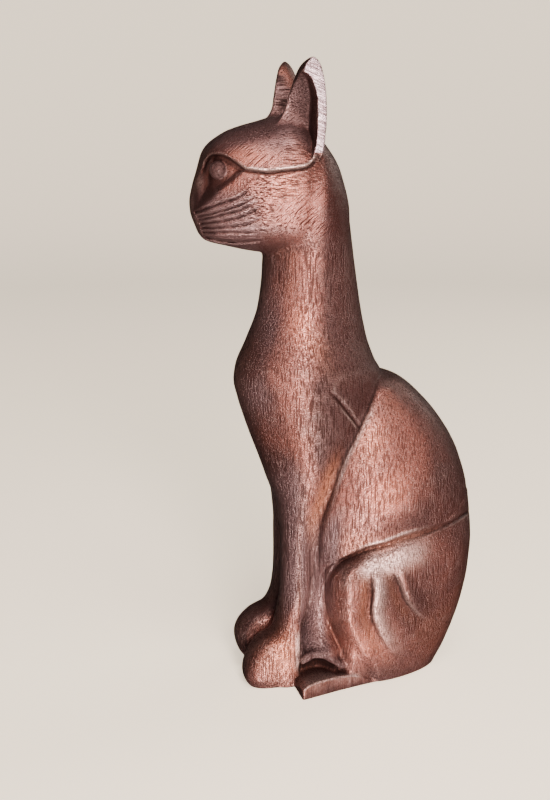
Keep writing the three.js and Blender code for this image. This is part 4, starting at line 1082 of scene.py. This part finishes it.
def makeCat():
    maps = sideMaps()
    print("cat: outlines measured")
    mapYs, mapZs = np.arange(mapFront, mapBack, spacing), np.arange(mapLow, mapHigh, spacing)
    relief = carvedRelief(*np.meshgrid(mapYs, mapZs, indexing="ij"))
    print("cat: lines laid out")
    points, quads = surfaceSkin(carvedField(maps, relief))
    print("cat: skinned with", len(points), "points")
    skin = meshOf(points, quads)
    sawnFlat(skin)
    cat = bpy.data.objects.new("carved_cat", skin)
    scene.collection.objects.link(cat)
    mesh = thinned(cat)
    print("cat: thinned to", len(mesh.polygons), "faces")

    at, normals = coordinates(mesh), vertexNormals(mesh)
    masks, lip = tintAndLightMasks(at, normals, relief)
    placeOnFrame(mesh, at, normals)
    fine, broad = swelling(mesh, 3) / 0.00012, swelling(mesh, 24) / 0.0006
    z = at[:, 2]
    masks["hollow"] = np.maximum(-fine, 0) * 0.5 + np.maximum(-broad, 0) * 0.6
    ridge = np.maximum(fine - 0.3, 0) * 0.6 + np.maximum(broad - 1.0, 0) * 0.4 * ramp(0.2, 0.27, z)
    masks["ridge"] = ridge * (1 - lip) * ramp(0.03, 0.06, z)
    for name, values in masks.items():
        addMask(mesh, name, values)
    mesh.polygons.foreach_set("use_smooth", [True] * len(mesh.polygons))
    mesh.materials.append(rubbedWood())
    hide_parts("cat_figure")
    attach(cat, "root")
    print("cat: finished, with masks for", ", ".join(masks))


# Finish: dark stain in the pores and cuts, a copper-bronze rub over it, pinkish where it is worn, with
# painted light and shade: copper where the surface faces the lamps, dark where it turns away, pinkish painted
# highlights and glints.
finish = {
    "stain": (0.010, 0.004, 0.0035),
    # dark, brown and copper: the tones that the painted light steps through, from turned away to facing the
    # lamps
    "dark": (0.070, 0.020, 0.016),
    "brown": (0.22, 0.062, 0.043),
    "copper": (0.45, 0.128, 0.080),
    "orange": (0.36, 0.105, 0.046),
    "pink": (0.90, 0.60, 0.53),
    "rim": (0.56, 0.40, 0.43),
    "rimLow": (0.20, 0.12, 0.13),
    "mauve": (0.16, 0.085, 0.085),
    "roughness": 0.33,
    "metallic": 0.8,
    "coat": 0.3,
    "coatRoughness": 0.3,
    "coatIndex": 1.6,
    "bump": 1.0,
    "bumpHeight": 0.00018,
    "headFrom": (0.70, 0.76),  # shares of the height between which the grain gives way to strokes
    "poreScale": 1500,
    "poreStretch": (1, 1, 0.07),
    "pitScale": 1600,
    "flakeScale": 1900,
    "cloudScale": 26,
    "patchScale": 17,
    "scratchScale": 2700,
    "scratchTurns": (4, -6, 40),  # degrees: the first two cross, the last stands in patches
    "hatchScale": 2500,
    "hatchTurn": -24,
    "strokeStretch": (1, 0.03, 1),
}


def rubbedWood():
    material = bpy.data.materials.new("rubbed_wood")
    material.use_nodes = True
    tree = material.node_tree
    nodes, links = tree.nodes, tree.links
    shader = nodes["Principled BSDF"]

    def add(kind, **settings):
        node = nodes.new(kind)
        for key, value in settings.items():
            setattr(node, key, value)
        return node

    def feed(socket, value):
        if isinstance(value, (int, float)):
            socket.default_value = value
        elif isinstance(value, tuple):
            socket.default_value = (*value, 1)
        else:
            links.new(value, socket)

    def calc(operation, a, b=None, clamp=False):
        node = add("ShaderNodeMath", operation=operation, use_clamp=clamp)
        feed(node.inputs[0], a)
        if b is not None:
            feed(node.inputs[1], b)
        return node.outputs[0]

    def between(value, low, high, a=0.0, b=1.0):
        node = add("ShaderNodeMapRange", interpolation_type="SMOOTHSTEP")
        feed(node.inputs["Value"], value)
        for key, number in zip(("From Min", "From Max", "To Min", "To Max"), (low, high, a, b)):
            node.inputs[key].default_value = number
        return node.outputs[0]

    def mixed(amount, a, b):
        node = add("ShaderNodeMix", data_type="RGBA")
        feed(node.inputs["Factor"], amount)
        feed(node.inputs["A"], a)
        feed(node.inputs["B"], b)
        return node.outputs["Result"]

    def mask(name):
        return add("ShaderNodeAttribute", attribute_name=name).outputs["Fac"]

    place = add("ShaderNodeTexCoord").outputs["Object"]

    def speckle(scale, detail=3.0, roughness=0.55, stretch=(1, 1, 1), turn=0.0):
        mapping = add("ShaderNodeMapping", vector_type="TEXTURE")
        links.new(place, mapping.inputs["Vector"])
        mapping.inputs["Rotation"].default_value = (math.radians(turn), 0, 0)
        mapping.inputs["Scale"].default_value = tuple(1 / a for a in stretch)
        node = add("ShaderNodeTexNoise")
        links.new(mapping.outputs[0], node.inputs["Vector"])
        node.inputs["Scale"].default_value = scale
        node.inputs["Detail"].default_value = detail
        node.inputs["Roughness"].default_value = roughness
        return node.outputs["Fac"]

    # The grain runs up the block, so it streaks the sides and stipples the crown.
    # The head is rubbed across it.
    height = add("ShaderNodeSeparateXYZ")
    links.new(place, height.inputs[0])
    onHead = between(height.outputs["Z"], *[share * tall for share in finish["headFrom"]])
    pores = between(speckle(finish["poreScale"], 1, 0.5, finish["poreStretch"]), 0.50, 0.62)
    pores = calc("MULTIPLY", pores, between(onHead, 0.0, 1.0, 1.0, 0.25))
    pits = between(speckle(finish["pitScale"], 2, 0.6), 0.47, 0.57)
    flakes = between(speckle(finish["flakeScale"], 1, 0.5), 0.54, 0.66)
    clouds = speckle(finish["cloudScale"], 3, 0.55)
    patches = speckle(finish["patchScale"], 2, 0.5)
    strokes = (finish["scratchScale"], 0, 0.5, finish["strokeStretch"])
    scratches = [between(speckle(*strokes, turn), 0.52, 0.70) for turn in finish["scratchTurns"]]
    level = calc("MAXIMUM", scratches[0], scratches[1])
    scratched = mixed(between(clouds, 0.44, 0.56), level, scratches[2])
    scratched = calc("MULTIPLY", scratched, between(onHead, 0.0, 1.0, 0.5, 0.85))
    scratched = calc("MULTIPLY", scratched, between(mask("rim"), 0.0, 1.0, 1.0, 0.4))

    # painted light and shade: the tone goes from dark where the surface turns away from the lamps to copper
    # where it faces them, with random clouds
    rubAndLight = calc("ADD", calc("MULTIPLY", mask("rubAndLight"), 0.9), calc("MULTIPLY", clouds, 0.7))
    tone = mixed(between(rubAndLight, 0.45, 0.95), finish["dark"], finish["brown"])
    tone = mixed(between(rubAndLight, 0.9, 1.35), tone, finish["copper"])
    # orange patches, painted stronger where the surface faces the lamps
    thinAndLit = calc("MULTIPLY", between(patches, 0.52, 0.68, 0, 0.6), mask("rubAndLight"))
    thinAndLit = calc("MAXIMUM", thinAndLit, calc("MULTIPLY", mask("amber"), 0.8))
    tone = mixed(thinAndLit, tone, finish["orange"])
    # pink on worn edges and on painted highlights
    wearAndLight = calc("ADD", calc("MULTIPLY", mask("ridge"), 0.5), mask("wornAndLit"), clamp=True)
    wearAndLight = calc("MULTIPLY", wearAndLight, between(flakes, 0.0, 1.0, 0.6, 1.0))
    tone = mixed(wearAndLight, tone, finish["pink"])
    hatch = speckle(finish["hatchScale"], 0, 0.5, finish["strokeStretch"], finish["hatchTurn"])
    hatch = between(hatch, 0.36, 0.54)
    tone = mixed(mask("rim"), tone, mixed(hatch, finish["rimLow"], finish["rim"]))
    # painted glints: pink flakes where the surface faces the lamps
    tone = mixed(calc("MULTIPLY", calc("MULTIPLY", flakes, mask("rubAndLight")), 0.22), tone, finish["pink"])
    tone = mixed(calc("MULTIPLY", mask("mauve"), 0.85), tone, finish["mauve"])
    pits = calc("MULTIPLY", pits, between(onHead, 0.0, 1.0, 1.0, 0.4))
    grain = calc("MAXIMUM", calc("MULTIPLY", pores, 0.75), calc("MULTIPLY", pits, 0.5))
    # darkened towards the stain in the hollows and where the dark mask holds wax and painted shade
    cuts = calc("MAXIMUM", calc("MULTIPLY", mask("hollow"), 0.7), calc("MULTIPLY", mask("dark"), 0.93))
    grain = calc("MAXIMUM", grain, scratched, clamp=True)
    cuts = calc("ADD", cuts, calc("MULTIPLY", grain, calc("SUBTRACT", 1.0, cuts)), clamp=True)
    tone = mixed(cuts, tone, finish["stain"])
    links.new(tone, shader.inputs["Base Color"])

    rough = between(clouds, 0.3, 0.7, finish["roughness"] - 0.04, finish["roughness"] + 0.06)
    rough = calc("ADD", rough, calc("MULTIPLY", cuts, 0.2), clamp=True)
    links.new(rough, shader.inputs["Roughness"])
    links.new(between(cuts, 0.2, 1.0, finish["metallic"], 0.2), shader.inputs["Metallic"])
    links.new(between(cuts, 0.1, 0.9, finish["coat"], 0.02), shader.inputs["Coat Weight"])
    links.new(between(cuts, 0.3, 0.9, 0.5, 0.06), shader.inputs["Specular IOR Level"])
    shader.inputs["Coat Roughness"].default_value = finish["coatRoughness"]
    shader.inputs["Coat IOR"].default_value = finish["coatIndex"]

    relief = calc("ADD", calc("MULTIPLY", pores, -0.8), calc("MULTIPLY", pits, -0.35))
    relief = calc("ADD", relief, calc("MULTIPLY", scratched, -0.8))
    relief = calc("ADD", relief, calc("MULTIPLY", calc("MULTIPLY", hatch, mask("rim")), 0.8))
    bump = add("ShaderNodeBump")
    bump.inputs["Strength"].default_value = finish["bump"]
    bump.inputs["Distance"].default_value = finish["bumpHeight"]
    links.new(relief, bump.inputs["Height"])
    links.new(bump.outputs[0], shader.inputs["Normal"])
    links.new(bump.outputs[0], shader.inputs["Coat Normal"])
    return material


makeCamera()
makeStudio()
print("camera and studio ready")
makeCat()
